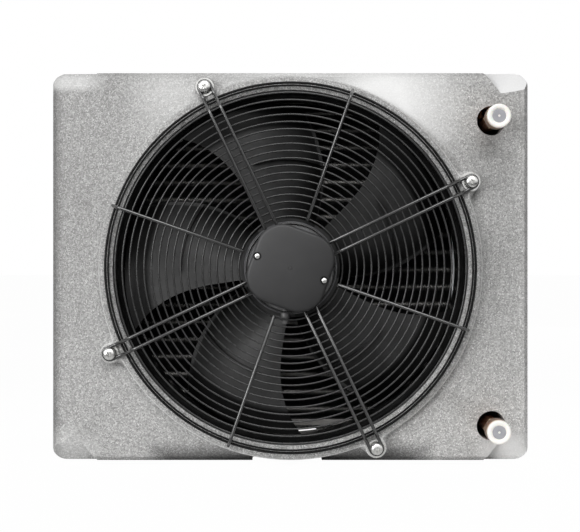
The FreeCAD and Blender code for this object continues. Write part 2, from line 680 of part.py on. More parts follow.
# The guard: ring wires, four single spokes and four hairpin arms, all welded together.
def ring(name, radius, depth):
    """One ring wire, kept light with flat sides and a square section."""
    at = ("0", depth, "fan_height")
    outer = primitive("Prism", name + "_outer", at, FORWARD, Circumradius=f"{radius} + ring_wire / 2",
                      Height="ring_wire", Polygon="ring_sides")
    inner = primitive("Prism", name + "_inner", at, FORWARD, Circumradius=f"{radius} - ring_wire / 2",
                      Height="ring_wire", Polygon="ring_sides")
    return cut(name, outer, [inner])


def make_guard():
    back = "-arm_level + arm_wire / 2 - weld_sink"
    rings = [ring(f"face_ring_{index + 1}", f"ring_first + {index} * ring_pitch", back)
             for index in range(int(number("ring_count")))]
    rim_depth = "-arm_level + spoke_drop - arm_wire / 2 + ring_wire"
    rings.append(ring("rim_ring_1", "rim_ring_inner", rim_depth + " - rim_ring_step"))
    rings.append(ring("rim_ring_2", "rim_ring_outer", rim_depth))
    compound = doc.addObject("Part::Compound", "guard_rings")
    compound.Links = rings
    node(compound)

    wire = number("arm_wire")
    level = -number("arm_level")
    end = level + number("spoke_drop")
    inner, knee, reach = number("spoke_inner"), number("spoke_knee"), number("spoke_reach")
    spokes = []
    for quarter in range(4):
        angle = number("spoke_angle") + quarter * 90
        stops = ((inner, level), (knee, level), (reach, end))
        points = [fan_point(radius, angle, depth) for radius, depth in stops]
        spokes.append(bent_wire(points, [number("spoke_bend")], wire))
    node(shaped("guard_spokes", Part.makeCompound(spokes)))

    landing = -number("rim_depth + collar_rise + washer_thick") - wire / 2
    half = number("hairpin_half")
    bend = number("arm_bend")
    turn = number("bolt_circle") + half
    stops = [(number("arm_inner"), level), (number("arm_knee"), level),
             (number("arm_landing"), landing), (turn, landing)]
    outward = [Vector(radius, depth, half) for radius, depth in stops]
    homeward = [Vector(point.x, point.y, -half) for point in reversed(outward)]
    hairpin = bent_wire(outward + homeward, [bend, bend, half, half, bend, bend], wire)
    hairpin.translate(Vector(0, 0, number("fan_height")))
    arms = doc.addObject("Part::Feature", "guard_hairpin")
    arms.Shape = hairpin
    group("guard_arms", arms, [about_fan(number("bolt_angle") + quarter * 90) for quarter in range(4)])


# Bolts, washers and threaded inserts that hold the guard on the collar.
def make_guard_fasteners():
    at = ("bolt_circle", "-rim_depth - collar_rise", "fan_height")
    turns = [about_fan(number("bolt_angle") + quarter * 90) for quarter in range(4)]
    washer = turned("washer", sleeve("bolt_radius + seat_gap", "washer_radius", "-washer_thick", "0"), at)
    group("guard_washers", washer, turns)
    seat = "-washer_thick - arm_wire"
    bolt = turned("bolt", [
        ("0", f"{seat} - bolt_head_height"),
        ("bolt_head - bolt_head_bevel", f"{seat} - bolt_head_height"),
        ("bolt_head", f"{seat} - bolt_head_height + bolt_head_bevel"),
        ("bolt_head", seat),
        ("bolt_radius", seat),
        ("bolt_radius", f"{seat} + bolt_length"),
        ("0", f"{seat} + bolt_length"),
    ], at)
    group("guard_bolts", bolt, turns)
    insert = turned("insert", sleeve("bolt_radius + run_gap", "insert_radius", "0", "insert_length"), at)
    group("guard_inserts", insert, turns)


def rounded_square(name, across, corner, start, length, bevel=None):
    """A rounded square plate square to the fan axis, turned with the motor cap."""
    half = f"({across}) / 2"
    piece = body(name, ("0", start, "fan_height"), Rotation(Vector(0, -1, 0), number("cap_turn")))
    sketch = sketch_on(piece, "XZ_Plane")
    outline(sketch, *rounded("-" + half, half, "-" + half, half, corner))
    feature = pad(piece, sketch, length)
    if bevel:
        doc.recompute()
        faces = feature.Shape.Faces
        far = min(range(len(faces)), key=lambda index: faces[index].CenterOfMass.y)
        chamfer = piece.newObject("PartDesign::Chamfer", name + "_bevel")
        chamfer.Base = (feature, [f"Face{far + 1}"])
        bind(chamfer, "Size", bevel)
    return piece


def cap_screw_places():
    """Turns that put a piece drawn beside the fan axis at the two cap screws."""
    return [about_fan(number("cap_turn") + half) for half in (0, 180)]


# The motor's terminal box: cap, screws, gasket, base plate and cable gland.
def make_motor_box():
    cap = rounded_square("cap_blank", "cap_across", "cap_corner", "-cap_start", "cap_height", "cap_bevel")
    at = ("cap_screw_place", "0", "fan_height")
    head = "-cap_start - cap_height + cap_screw_sink"
    pocket = turned("cap_pocket", [
        ("0", f"{head} - cap_height"),
        ("cap_screw_radius + seat_gap", f"{head} - cap_height"),
        ("cap_screw_radius + seat_gap", head),
        ("cap_screw_shank + seat_gap", head),
        ("cap_screw_shank + seat_gap", "cap_height - cap_start"),
        ("0", "cap_height - cap_start"),
    ], at)
    doc.recompute()
    holes = []
    for index, place_at in enumerate(cap_screw_places()):
        copy = pocket.Shape.copy()
        copy.Placement = place_at.multiply(copy.Placement)
        holes.append(shaped(f"cap_hole_{index + 1}", copy))
    node(cut("motor_cap", cap, holes))
    screw = turned("cap_screw", [
        ("0", f"{head} - cap_screw_sink + seat_gap"),
        ("cap_screw_radius", f"{head} - cap_screw_sink + seat_gap"),
        ("cap_screw_radius", head),
        ("cap_screw_shank", head),
        ("cap_screw_shank", "-cap_start + gasket_thick + base_thick"),
        ("0", "-cap_start + gasket_thick + base_thick"),
    ], at)
    group("motor_cap_screws", screw, cap_screw_places())
    for name, across, start, thick in (
        ("motor_cap_gasket", "cap_across - cap_bevel", "-cap_start + gasket_thick", "gasket_thick"),
        ("motor_base_plate", "cap_across - cap_bevel", "-cap_start + gasket_thick + base_thick", "base_thick"),
    ):
        plate = rounded_square(name + "_blank", across, "cap_corner - cap_bevel", start, thick)
        bores = []
        for index, place_at in enumerate(cap_screw_places()):
            bore = Part.makeCylinder(number("cap_screw_shank + seat_gap"), number("cap_height"),
                                     Vector(number("cap_screw_place"), -number("cap_start") - 1,
                                            number("fan_height")), Vector(0, 1, 0))
            bore.Placement = place_at.multiply(bore.Placement)
            bores.append(shaped(f"{name}_bore", bore))
        node(cut(name, plate, bores))
    gland_at = ("-gland_across", "-gland_depth", "fan_height - flange_radius")
    node(turned("cable_gland", [
        ("gland_bore", "0"), ("gland_radius", "0"), ("gland_radius", "gland_long / 2"),
        ("gland_radius - gland_taper", "gland_long"), ("gland_bore", "gland_long"),
    ], gland_at, turn=Rotation(Vector(1, 0, 0), -90)))


# The stator: flange with bearing tube, stack, end windings and bearings.
def make_stator():
    at = ("0", "0", "fan_height")
    face = "-arm_level + arm_wire / 2 + seat_gap"
    node(turned("stator_flange", [
        ("0", face), ("flange_radius", face), ("flange_radius", f"{face} + flange_thick"),
        ("tube_radius", f"{face} + flange_thick"), ("tube_radius", "-tube_end"),
        ("bearing_outer", "-tube_end"), ("bearing_outer", f"{face} + flange_thick"),
        ("0", f"{face} + flange_thick"),
    ], at))
    node(turned("stator_stack", sleeve("tube_radius", "stack_radius", "-stack_start", "-stack_end"), at))
    windings = [
        turned("winding_near", sleeve("tube_radius + coil_ring_gap", "coil_ring", "-stack_start - coil_ring_rise",
                                      "-stack_start"), at),
        turned("winding_far", sleeve("tube_radius + coil_ring_gap", "coil_ring", "-stack_end",
                                     "coil_ring_rise - stack_end"), at),
    ]
    compound = doc.addObject("Part::Compound", "stator_windings")
    compound.Links = windings
    node(compound)
    bearings = [
        turned("bearing_near", sleeve("bearing_inner + run_gap", "bearing_outer", "-stack_start",
                                      "bearing_wide - stack_start"), at),
        turned("bearing_far", sleeve("bearing_inner + run_gap", "bearing_outer", "-tube_end - bearing_wide",
                                     "-tube_end"), at),
    ]
    compound = doc.addObject("Part::Compound", "motor_bearings")
    compound.Links = bearings
    node(compound)


# The rotor: pot, shaft and magnets.
def make_rotor():
    at = ("0", "0", "fan_height")
    node(turned("rotor_pot", [
        ("rotor_radius - rotor_wall", "-rotor_start"), ("rotor_radius", "-rotor_start"),
        ("rotor_radius", "-rotor_end"), ("bearing_inner", "-rotor_end"),
        ("bearing_inner", "-rotor_end - rotor_wall"), ("rotor_radius - rotor_wall", "-rotor_end - rotor_wall"),
    ], at))
    node(turned("rotor_shaft", [("0", "-stack_start - shaft_past"),
                                ("bearing_inner", "-stack_start - shaft_past"),
                                ("bearing_inner", "-rotor_end"), ("0", "-rotor_end")], at))
    magnet = "rotor_radius - rotor_wall - magnet_thick"
    node(turned("rotor_magnets", sleeve(magnet, "rotor_radius - rotor_wall", "-stack_start", "-stack_end"), at))


def blend_of(root, waist, tip, share):
    """A value that runs smoothly through three stations: hub, halfway and tip."""
    return (root * (1 - share) * (1 - 2 * share) + waist * 4 * share * (1 - share)
            + tip * share * (2 * share - 1))


def blade_point(radius, chord, lift):
    """A point of a blade: radius, share of the chord from the leading edge, and lift off its mid face."""
    hub = number("rotor_radius + hub_wall")
    share = (radius - hub) / (number("blade_tip") - hub)
    lead = blend_of(BLADE["lead_root"], BLADE["lead_waist"], BLADE["lead_tip"], share)
    trail = blend_of(BLADE["trail_root"], BLADE["trail_waist"], BLADE["trail_tip"], share)
    front = BLADE["lead_depth_root"] + (BLADE["lead_depth_tip"] - BLADE["lead_depth_root"]) * share
    back = BLADE["trail_depth_root"] + (BLADE["trail_depth_tip"] - BLADE["trail_depth_root"]) * share
    bow = BLADE["camber"] * math.sin(math.pi * chord)
    depth = front + (back - front) * chord + bow
    return fan_point(radius, lead + (trail - lead) * chord, -(depth + lift))


BLADE = {}


def skin(grid):
    surface = Part.BSplineSurface()
    surface.interpolate(grid)
    return surface.toShape()


def between_skins(near, far):
    """A closed solid between two grids of points."""
    faces = [skin(near), skin(far)]
    rims = [
        ([row[0] for row in near], [row[0] for row in far]),
        ([row[-1] for row in near], [row[-1] for row in far]),
        (near[0], far[0]),
        (near[-1], far[-1]),
    ]
    edges = [face.Edges for face in faces]
    for first, last in rims:
        pair = [nearest_edge(edges[side], points) for side, points in enumerate((first, last))]
        faces.append(Part.makeRuledSurface(*pair))
    shell = Part.makeShell(faces)
    shell.sewShape()
    solid = Part.makeSolid(shell)
    if solid.Volume < 0:
        solid.reverse()
    return solid


def nearest_edge(edges, points):
    """The edge of a skin that runs through the given end points."""
    def miss(edge):
        ends = [vertex.Point for vertex in edge.Vertexes]
        return min((ends[0] - points[0]).Length + (ends[-1] - points[-1]).Length,
                   (ends[0] - points[-1]).Length + (ends[-1] - points[0]).Length)
    return min(edges, key=miss)


def make_blade():
    """One blade with its two flow fences, as one moulding."""
    hub = number("rotor_radius + hub_wall")
    root = hub - number("hub_wall") / 2
    tip = number("blade_tip")
    thick, edge = number("blade_thick"), number("blade_edge")
    radii = [root + (tip - root) * step / 4 for step in range(5)]
    chords = [step / 6 for step in range(7)]

    def grid(side):
        rows = []
        for radius in radii:
            rows.append([blade_point(radius, chord, side * (edge + (thick - edge)
                         * math.sin(math.pi * chord)) / 2) for chord in chords])
        return rows

    blade = between_skins(grid(1), grid(-1))
    fences = []
    for name in ("inner", "outer"):
        middle = number("fence_" + name)
        start = number(f"fence_{name}_start")
        spans = [start + (1 - start) * step / 4 for step in range(5)]
        walls = []
        for side in (-0.5, 0.5):
            radius = middle + side * number("fence_thick")
            walls.append([[blade_point(radius, chord, lift) for chord in spans]
                          for lift in (0, thick / 2 + number("fence_height"))])
        fences.append(between_skins(*walls))
    return blade.multiFuse(fences)


def make_impeller():
    names = ("lead_root", "lead_waist", "lead_tip", "trail_root", "trail_waist", "trail_tip", "camber")
    for name in names:
        BLADE[name] = number("blade_" + name)
    for name in ("lead_depth_root", "lead_depth_tip", "trail_depth_root", "trail_depth_tip"):
        BLADE[name] = number(name)
    hub = turned("impeller_hub", sleeve("rotor_radius + run_gap", "rotor_radius + hub_wall", "-hub_start",
                                        "-hub_end"), ("0", "0", "fan_height"))
    doc.recompute()
    blade = make_blade()
    count = int(number("blade_count"))
    blades = []
    for index in range(count):
        copy = blade.copy()
        copy.Placement = about_fan(index * 360 / count).multiply(copy.Placement)
        blades.append(copy)
    bore = Part.makeCylinder(number("rotor_radius + run_gap"), number("hub_start"),
                             Vector(0, -number("hub_start") - 1, number("fan_height")), Vector(0, 1, 0))
    node(shaped("impeller", hub.Shape.multiFuse(blades).cut(bore)))


# The heating coil: fins, tubes, return bends, plates, headers and stubs. The lowest pair of tubes is blind,
# because the supply stub passes where its header end would be.
def make_coil():
    count = int(number("2 * coil_half / fin_pitch"))
    top = "tube_first + (tube_rows - 0.5) * tube_pitch"
    low = "tube_first - tube_pitch / 2"
    fins = []
    for index in range(count):
        left = f"(({index} + 0.5) * fin_pitch - {count} * fin_pitch / 2 - fin_thick / 2)"
        fins.append(box(f"fin_{index + 1}", (left, "-coil_back", low),
                        (left + " + fin_thick", "coil_thick - coil_back", top)))
    compound = doc.addObject("Part::Compound", "coil_fins")
    compound.Links = fins
    node(compound)
    tubes = []
    bends = []
    for level in range(int(number("tube_rows"))):
        height = f"(tube_first + {level} * tube_pitch)"
        for row in ("-", ""):
            depth = f"(coil_thick / 2 - coil_back {row or '+'} tube_depth / 2)"
            at = ("-coil_half - plate_thick - seat_gap", depth, height)
            reach = "coil_half + plate_thick + seat_gap"
            reach = f"2 * ({reach})" if level == 0 else reach + " + stub_across - header_radius / 2"
            tubes.append(primitive("Prism", "coil_tube", at, SIDEWAYS, Circumradius="tube_size",
                                   Polygon="tube_sides", Height=reach))
        if level:
            bends.append(return_bend(height))
    for name, parts in (("coil_tubes", tubes), ("return_bends", bends)):
        compound = doc.addObject("Part::Compound", name)
        compound.Links = parts
        node(compound)
    for name, side in (("left", -1), ("right", 1)):
        node(end_plate(f"coil_end_plate_{name}", side))
    for name, level, way in (("coil_bottom_plate", low, -1), ("coil_top_plate", top, 1)):
        node(baffle(name, level, way))


def return_bend(height):
    """A bend that joins the two tubes of one level at the coil's left end."""
    inner = "(tube_depth / 2 - tube_size)"
    outer = "(tube_depth / 2 + tube_size)"
    piece = body("return_bend", ("-coil_half - plate_thick - seat_gap", "coil_thick / 2 - coil_back",
                                 height + " - tube_size"))
    sketch = sketch_on(piece, "XY_Plane")
    outline(sketch, [
        ("0", "-" + outer), ("0", "-" + inner), ("-" + inner, f"-{inner} / 2"), ("-" + inner, inner + " / 2"),
        ("0", inner), ("0", outer), (f"-{outer} / 2", outer), ("-" + outer, outer + " / 2"),
        ("-" + outer, f"-{outer} / 2"), (f"-{outer} / 2", "-" + outer),
    ])
    pad(piece, sketch, "2 * tube_size")
    return piece


def end_plate(name, side):
    """A coil end plate: a channel with both flanges turned outwards."""
    sign = "-" if side < 0 else ""
    piece = body(name, (sign + "coil_half", "-coil_back", "wall_base + seat_gap"))
    sketch = sketch_on(piece, "XY_Plane")
    wall, flange = sign + "plate_thick", sign + "plate_flange"
    deep = "coil_thick"
    corners = [("0", "-plate_thick"), (flange, "-plate_thick"), (flange, "0"), (wall, "0"), (wall, deep),
               (flange, deep), (flange, f"{deep} + plate_thick"), ("0", f"{deep} + plate_thick")]
    outline(sketch, corners)
    pad(piece, sketch, "casing_height - wall_base - wall_top - 2 * seat_gap")
    holes = []
    for level in range(int(number("tube_rows"))):
        for row in ("-", "+"):
            depth = f"coil_thick / 2 - coil_back {row} tube_depth / 2"
            at = ("-coil_half - plate_flange" if side < 0 else "coil_half - 1", depth,
                  f"tube_first + {level} * tube_pitch")
            holes.append(primitive("Prism", "plate_hole", at, SIDEWAYS, Polygon="tube_sides",
                                   Circumradius="tube_size + seat_gap / 3", Height="plate_flange + 1"))
    plain = piece
    plain.Label = name + "_blank"
    return labelled(cut(name + "_cut", plain, holes), name)


def labelled(thing, label):
    thing.Label = label
    return thing


def baffle(name, level, way):
    """The plate above or below the fins, with both edges turned away from them."""
    sign = "-" if way < 0 else ""
    piece = body(name, ("-coil_half + seat_gap", "-coil_back", level))
    sketch = sketch_on(piece, "YZ_Plane")
    wall, drop = sign + "plate_thick", sign + "baffle_drop"
    deep = "coil_thick"
    gap = sign + "seat_gap"
    corners = [("0", gap), (deep, gap), (deep, drop), (f"{deep} - plate_thick", drop),
               (f"{deep} - plate_thick", f"{wall} {'-' if way < 0 else '+'} seat_gap"),
               ("plate_thick", f"{wall} {'-' if way < 0 else '+'} seat_gap"), ("plate_thick", drop), ("0", drop)]
    outline(sketch, corners)
    pad(piece, sketch, "2 * coil_half - 2 * seat_gap")
    return piece


# Headers, stub pipes, fittings and their protective caps.
def make_water_side():
    middle = "coil_thick / 2 - coil_back"
    last = "tube_first + (tube_rows - 1) * tube_pitch + header_end"
    for name, side, low, high, level in (
        ("return", "-", "tube_first + tube_pitch - header_end", last, "stub_upper"),
        ("supply", "+", "stub_lower - header_radius - header_foot", last, "stub_lower"),
    ):
        depth = f"({middle} {side} header_spread)"
        at = ("stub_across", depth, low)
        header = primitive("Cylinder", f"{name}_header_tube", at, Radius="header_radius",
                           Height=f"{high} - ({low})")
        hollow = primitive("Cylinder", f"{name}_header_bore", ("stub_across", depth, f"{low} + header_wall"),
                           Radius="header_radius - header_wall",
                           Height=f"{high} - ({low}) - 2 * header_wall")
        node(labelled(cut(f"{name}_header_cut", header, [hollow]), f"{name}_header"))
        end = f"({depth} - header_radius)"
        stub_at = ("stub_across", "0", level)
        node(turned(f"{name}_stub_pipe", sleeve("header_radius - header_wall", "header_radius",
                                                f"-stub_end", end), stub_at))
        node(fitting(f"{name}_fitting", level))
        node(stub_cap(f"{name}_cap", level))


def fitting(name, level):
    """Adaptor with a hexagon and a male thread, soldered over the end of the stub pipe."""
    start = "-fitting_start - fitting_long"
    hexagon = primitive("Prism", name + "_hexagon", ("stub_across", start, level), FORWARD,
                        Circumradius="fitting_wide", Polygon="6", Height="fitting_long")
    thread = primitive("Cylinder", name + "_thread", ("stub_across", f"{start} - thread_long", level), FORWARD,
                       Radius="thread_radius", Height="thread_long + 1")
    bore = primitive("Cylinder", name + "_bore", ("stub_across", f"{start} - thread_long - 1", level), FORWARD,
                     Radius="thread_bore", Height="thread_long + fitting_long + 2")
    socket = primitive("Cylinder", name + "_socket", ("stub_across", "-stub_end", level), FORWARD,
                       Radius="header_radius + run_gap", Height="fitting_long")
    return labelled(cut(name + "_cut", fuse(name + "_blank", [hexagon, thread]), [bore, socket]), name)


def stub_cap(name, level):
    """Push-on plastic cap over the thread, with a dished end."""
    mouth = "-fitting_start - fitting_long - seat_gap"
    end = f"({mouth} - stub_cap_long)"
    inner = "thread_radius + seat_gap"
    return turned(name, [
        (inner, mouth), ("stub_cap_radius", mouth), ("stub_cap_radius", f"{end} + stub_cap_round"),
        ("stub_cap_radius - stub_cap_round", end), ("stub_cap_dish", end), ("stub_cap_dish", f"{end} + stub_cap_sink"),
        ("0", f"{end} + stub_cap_sink"), ("0", f"{end} + stub_cap_sink + stub_cap_wall"),
        (inner, f"{end} + stub_cap_sink + stub_cap_wall"),
    ], ("stub_across", "0", level))


# The louvres that aim the warm air, and the two rails that hold their pins.
def louvre_level(index):
    return f"(outlet_low + ({index} + 0.5) * outlet_tall / louvre_count)"


def make_louvres():
    half = "(outlet_half - rail_wide - louvre_side_gap)"
    for index in range(int(number("louvre_count"))):
        at = ("0", "louvre_depth", louvre_level(index))
        blade = body(f"louvre_{index + 1}_blade", at)
        sketch = sketch_on(blade, "YZ_Plane")
        chord, edge = "louvre_chord / 2", "louvre_edge / 2"
        outline(sketch, [(f"-{chord}", f"-{edge}"), (chord, f"-{edge}"), (chord, edge), (f"-{chord}", edge)],
                {0: ("louvre_bow", 1), 2: ("louvre_bow", 1)})
        pad(blade, sketch, f"2 * {half}", midplane=True)
        spine = primitive("Cylinder", f"louvre_{index + 1}_spine", (f"-{half}", "louvre_depth", at[2]), SIDEWAYS,
                          Radius="louvre_spine", Height=f"2 * {half}")
        pins = primitive("Cylinder", f"louvre_{index + 1}_pins", (f"-{half} - pin_long", "louvre_depth", at[2]),
                         SIDEWAYS, Radius="pin_radius", Height=f"2 * {half} + 2 * pin_long")
        node(labelled(fuse(f"louvre_{index + 1}_fused", [blade, spine, pins]), f"louvre_{index + 1}"))
    for name, left in (("left", "-outlet_half + seat_gap"), ("right", "outlet_half - rail_wide")):
        low = ("(" + left + ")", "louvre_depth - rail_deep / 2", "outlet_low + seat_gap")
        high = (f"({left}) + rail_wide - seat_gap", "louvre_depth + rail_deep / 2",
                "outlet_low + outlet_tall - seat_gap")
        rail = box(f"rail_{name}_bar", low, high)
        bores = [primitive("Cylinder", "rail_bore", (f"({left}) - 1", "louvre_depth", louvre_level(index)),
                           SIDEWAYS, Radius="pin_radius + run_gap", Height="rail_wide + 2")
                 for index in range(int(number("louvre_count")))]
        node(labelled(cut(f"rail_{name}", rail, bores), f"louvre_rail_{name}"))


# Threaded inserts for a wall or ceiling bracket, two in the base and two in the top.
def make_bracket_inserts():
    sleeves = []
    for low, length in (("0", "wall_base - seat_gap"), ("casing_height - wall_top + seat_gap",
                                                      "wall_top - seat_gap")):
        for side in ("-", ""):
            at = (side + "bracket_half", "0", low)
            outer = primitive("Cylinder", "bracket_sleeve", at, Radius="bracket_sleeve", Height=length)
            bore = primitive("Cylinder", "bracket_bore", (at[0], at[1], f"{low} - 1"), Radius="bracket_bore",
                             Height=f"{length} + 2")
            sleeves.append(cut("bracket_insert", outer, [bore]))
    compound = doc.addObject("Part::Compound", "bracket_inserts")
    compound.Links = sleeves
    node(compound)


make_rear_shell()
make_front_shell()
make_nozzle()
make_guard()
make_guard_fasteners()
make_motor_box()
make_stator()
make_rotor()
make_impeller()
make_coil()
make_water_side()
make_louvres()
make_bracket_inserts()
doc.recompute()

failed = [thing.Label for thing in doc.Objects if {"Invalid", "Error"} & set(thing.State)]
for thing in nodes:
    if thing.Shape.isNull() or not thing.Shape.isValid() or not thing.Shape.Solids:
        failed.append(thing.Label)
if failed:
    raise SystemExit("these pieces failed: " + ", ".join(failed))

os.makedirs("parts", exist_ok=True)
for thing in nodes:
    thing.Shape.exportStep(os.path.join("parts", thing.Label + ".step"))
print(len(nodes), "nodes written")
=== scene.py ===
import bmesh
import bpy
import math
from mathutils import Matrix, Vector


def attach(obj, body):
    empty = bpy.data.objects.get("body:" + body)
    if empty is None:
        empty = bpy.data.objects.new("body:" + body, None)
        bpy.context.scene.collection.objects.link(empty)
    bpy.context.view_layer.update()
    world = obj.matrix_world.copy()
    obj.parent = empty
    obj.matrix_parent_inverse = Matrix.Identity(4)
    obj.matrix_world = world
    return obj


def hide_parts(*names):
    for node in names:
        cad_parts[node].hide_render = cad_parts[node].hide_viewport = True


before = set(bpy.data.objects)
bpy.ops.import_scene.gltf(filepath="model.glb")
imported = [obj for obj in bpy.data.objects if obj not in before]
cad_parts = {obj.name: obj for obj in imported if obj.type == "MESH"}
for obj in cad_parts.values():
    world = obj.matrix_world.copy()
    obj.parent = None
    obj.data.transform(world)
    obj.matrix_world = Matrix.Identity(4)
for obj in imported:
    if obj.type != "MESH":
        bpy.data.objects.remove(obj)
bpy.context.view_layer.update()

# Sizes in millimetres and degrees, as in the part's source. X to the right seen from the fan side, Y the way
# the air blows, Z up, with the origin on the base under the fan axis. A depth is a place along Y.
FAN = 264.0
BLADES = 5
BOLT_CIRCLE = 267.5
BOLT_ANGLES = [25.45 + quarter * 90 for quarter in range(4)]
COLLAR_FACE = -170.0
COLLAR_RADIUS = 258.0
LOBE_RADIUS = 14.0
LOBE_BLEND = 12.0
CASING_TOP = 530.0
CASING_SIDE = 325.0
RIM_DEPTH = -140.0
RECESS_CREASE = 507.0
RECESS_RISE = 23
RECESS_SINK = 16
MOULDED_EDGE = 1.6
WASHER = 2.0
WIRE_RADIUS = 2.25
WIRE_DEPTH = -196.5
BOLT_SEAT = COLLAR_FACE - WASHER - 2 * WIRE_RADIUS
CAP_TILT = -20.0
CAP_SCREW_CIRCLE = 46.2
TUBE_LEVELS = [59.0 + 25.0 * level for level in range(18)]
TUBE_ROWS = (-51.0, -29.0)
END_PLATES = 232.8
PIPE_ACROSS = 272.7

# How many foam beads lie side by side in a metre.
BEADS = 560

# The stretch of a noise that is the same in all directions.
EVEN = (1, 1, 1)

# The sockets that a Mix node uses for colours.
MIX_FACTOR, MIX_FIRST, MIX_LAST, MIX_RESULT = 0, 6, 7, 2

# Painted light in smooth pale patches of foam: across, up, radius that is evenly pale, radius where it ends,
# and how pale.
PAINTED_LIGHT_PATCHES = (
    (5, 548, 30, 140, 0.48),
    (125, 485, 30, 120, 0.85),
    (-165, 500, 10, 75, 0.31),
    (293, 8, 24, 46, 0.80),
    (-300, 8, 24, 46, 0.22),
)


def at_fan(radius, angle, depth):
    """A point by distance from the fan axis, angle and depth."""
    turn = math.radians(angle)
    return Vector((radius * math.cos(turn), depth, FAN + radius * math.sin(turn)))


def feed(tree, socket, value):
    """Links an output to a socket, or sets the socket to a number, a vector or a plain colour."""
    if isinstance(value, bpy.types.NodeSocket):
        tree.links.new(value, socket)
    elif isinstance(value, tuple):
        socket.default_value = value + (1,) * (len(socket.default_value) - len(value))
    else:
        socket.default_value = value


def node(tree, kind, inputs=None, **settings):
    """A new node with its settings, and with what feeds its inputs by name or number."""
    made = tree.nodes.new(kind)
    for name, value in settings.items():
        setattr(made, name, value)
    for name, value in (inputs or {}).items():
        feed(tree, made.inputs[name], value)
    return made


class Look:
    """A material built from nodes. Numbers that are the same all over sit on the shader's own sockets."""

    def __init__(self, name, **sockets):
        self.material = bpy.data.materials.new(name)
        self.material.use_nodes = True
        self.tree = self.material.node_tree
        self.shader = self.tree.nodes["Principled BSDF"]
        for socket, value in sockets.items():
            self.shader.inputs[socket.replace("_", " ")].default_value = value
        self.coords = self.new("ShaderNodeTexCoord").outputs["Object"]

    def new(self, kind, inputs=None, **settings):
        return node(self.tree, kind, inputs, **settings)

    def axis(self, name):
        """The place along X, Y or Z, in metres."""
        return self.new("ShaderNodeSeparateXYZ", {"Vector": self.coords}).outputs[name]

    def away(self, across, up):
        """Distance in metres from a line along Y through a point given in millimetres."""
        inputs = {"Vector": self.coords, "Location": (-across / 1000, 0, -up / 1000), "Scale": (1, 0, 1)}
        flat = self.new("ShaderNodeMapping", inputs).outputs["Vector"]
        return self.new("ShaderNodeVectorMath", {0: flat}, operation="LENGTH").outputs["Value"]

    def noise(self, scale, detail, rough=0.55, stretch=EVEN):
        place = self.coords
        if stretch != EVEN:
            place = self.new("ShaderNodeMapping", {"Vector": place, "Scale": stretch}).outputs["Vector"]
        inputs = {"Vector": place, "Scale": scale, "Detail": detail, "Roughness": rough}
        return self.new("ShaderNodeTexNoise", inputs).outputs["Fac"]

    def beads(self, feature="F1", output="Distance"):
        inputs = {"Vector": self.coords, "Scale": BEADS}
        return self.new("ShaderNodeTexVoronoi", inputs, feature=feature).outputs[output]

    def ramp(self, source, *stops):
        """Colours or greys over a value from 0 to 1; each stop is (place, value)."""
        made = self.new("ShaderNodeValToRGB", {"Fac": source})
        elements = made.color_ramp.elements
        while len(elements) < len(stops):
            elements.new(1.0)
        for element, (place, value) in zip(elements, stops):
            element.position = place
            element.color = (value if isinstance(value, tuple) else (value,) * 3) + (1,)
        return made.outputs["Color"]

    def varied(self, noise, low, high):
        """A ramp over the range that a noise mostly keeps to."""
        return self.ramp(noise, (0.3, low), (0.7, high))

    def graded(self, source, start, end, *stops):
        """A ramp over a length in metres; start, end and the places of the stops are in millimetres."""
        span = end - start
        share = self.math("MULTIPLY_ADD", source, 1000 / span, -start / span)
        return self.ramp(share, *[((place - start) / span, value) for place, value in stops])

    def along(self, axis, *stops):
        """A ramp over the place along an axis. X and Y lie on both sides of the origin, Z only above it."""
        start = 0 if axis == "Z" else -500
        return self.graded(self.axis(axis), start, start + 1000, *stops)

    def near(self, across, up, *stops):
        """A ramp over the distance from a line along Y."""
        return self.graded(self.away(across, up), 0, 1000, *stops)

    def mix(self, factor, first, last, blend="MIX"):
        """Mixes two colours; each is an output or a plain colour."""
        inputs = {MIX_FACTOR: factor, MIX_FIRST: first, MIX_LAST: last}
        return self.new("ShaderNodeMix", inputs, data_type="RGBA", blend_type=blend).outputs[MIX_RESULT]

    def times(self, first, last, factor=1.0):
        """Multiplies a colour by another one."""
        return self.mix(factor, first, last, "MULTIPLY")

    def math(self, operation, *values):
        return self.new("ShaderNodeMath", dict(enumerate(values)), operation=operation).outputs[0]

    def surface(self, socket, source):
        """Links an output to one of the shader's sockets."""
        feed(self.tree, self.shader.inputs[socket], source)

    def colour(self, source):
        self.surface("Base Color", source)

    def rough(self, source):
        self.surface("Roughness", source)

    def bump(self, *layers):
        """Bump layers, each (height, strength, distance in mm)."""
        below = {}
        for height, strength, distance in layers:
            inputs = {"Height": height, "Strength": strength, "Distance": distance / 1000, **below}
            below = {"Normal": self.new("ShaderNodeBump", inputs).outputs["Normal"]}
        self.surface("Normal", below["Normal"])


def collar_edge(look):
    """How far a point lies outside the foam collar with its lobes, in metres."""
    gap = look.math("SUBTRACT", look.away(0, FAN), COLLAR_RADIUS / 1000)
    for angle in BOLT_ANGLES:
        bolt = at_fan(BOLT_CIRCLE, angle, 0)
        lobe = look.math("SUBTRACT", look.away(bolt.x, bolt.z), LOBE_RADIUS / 1000)
        gap = look.math("SMOOTH_MIN", gap, lobe, LOBE_BLEND / 1000)
    return gap


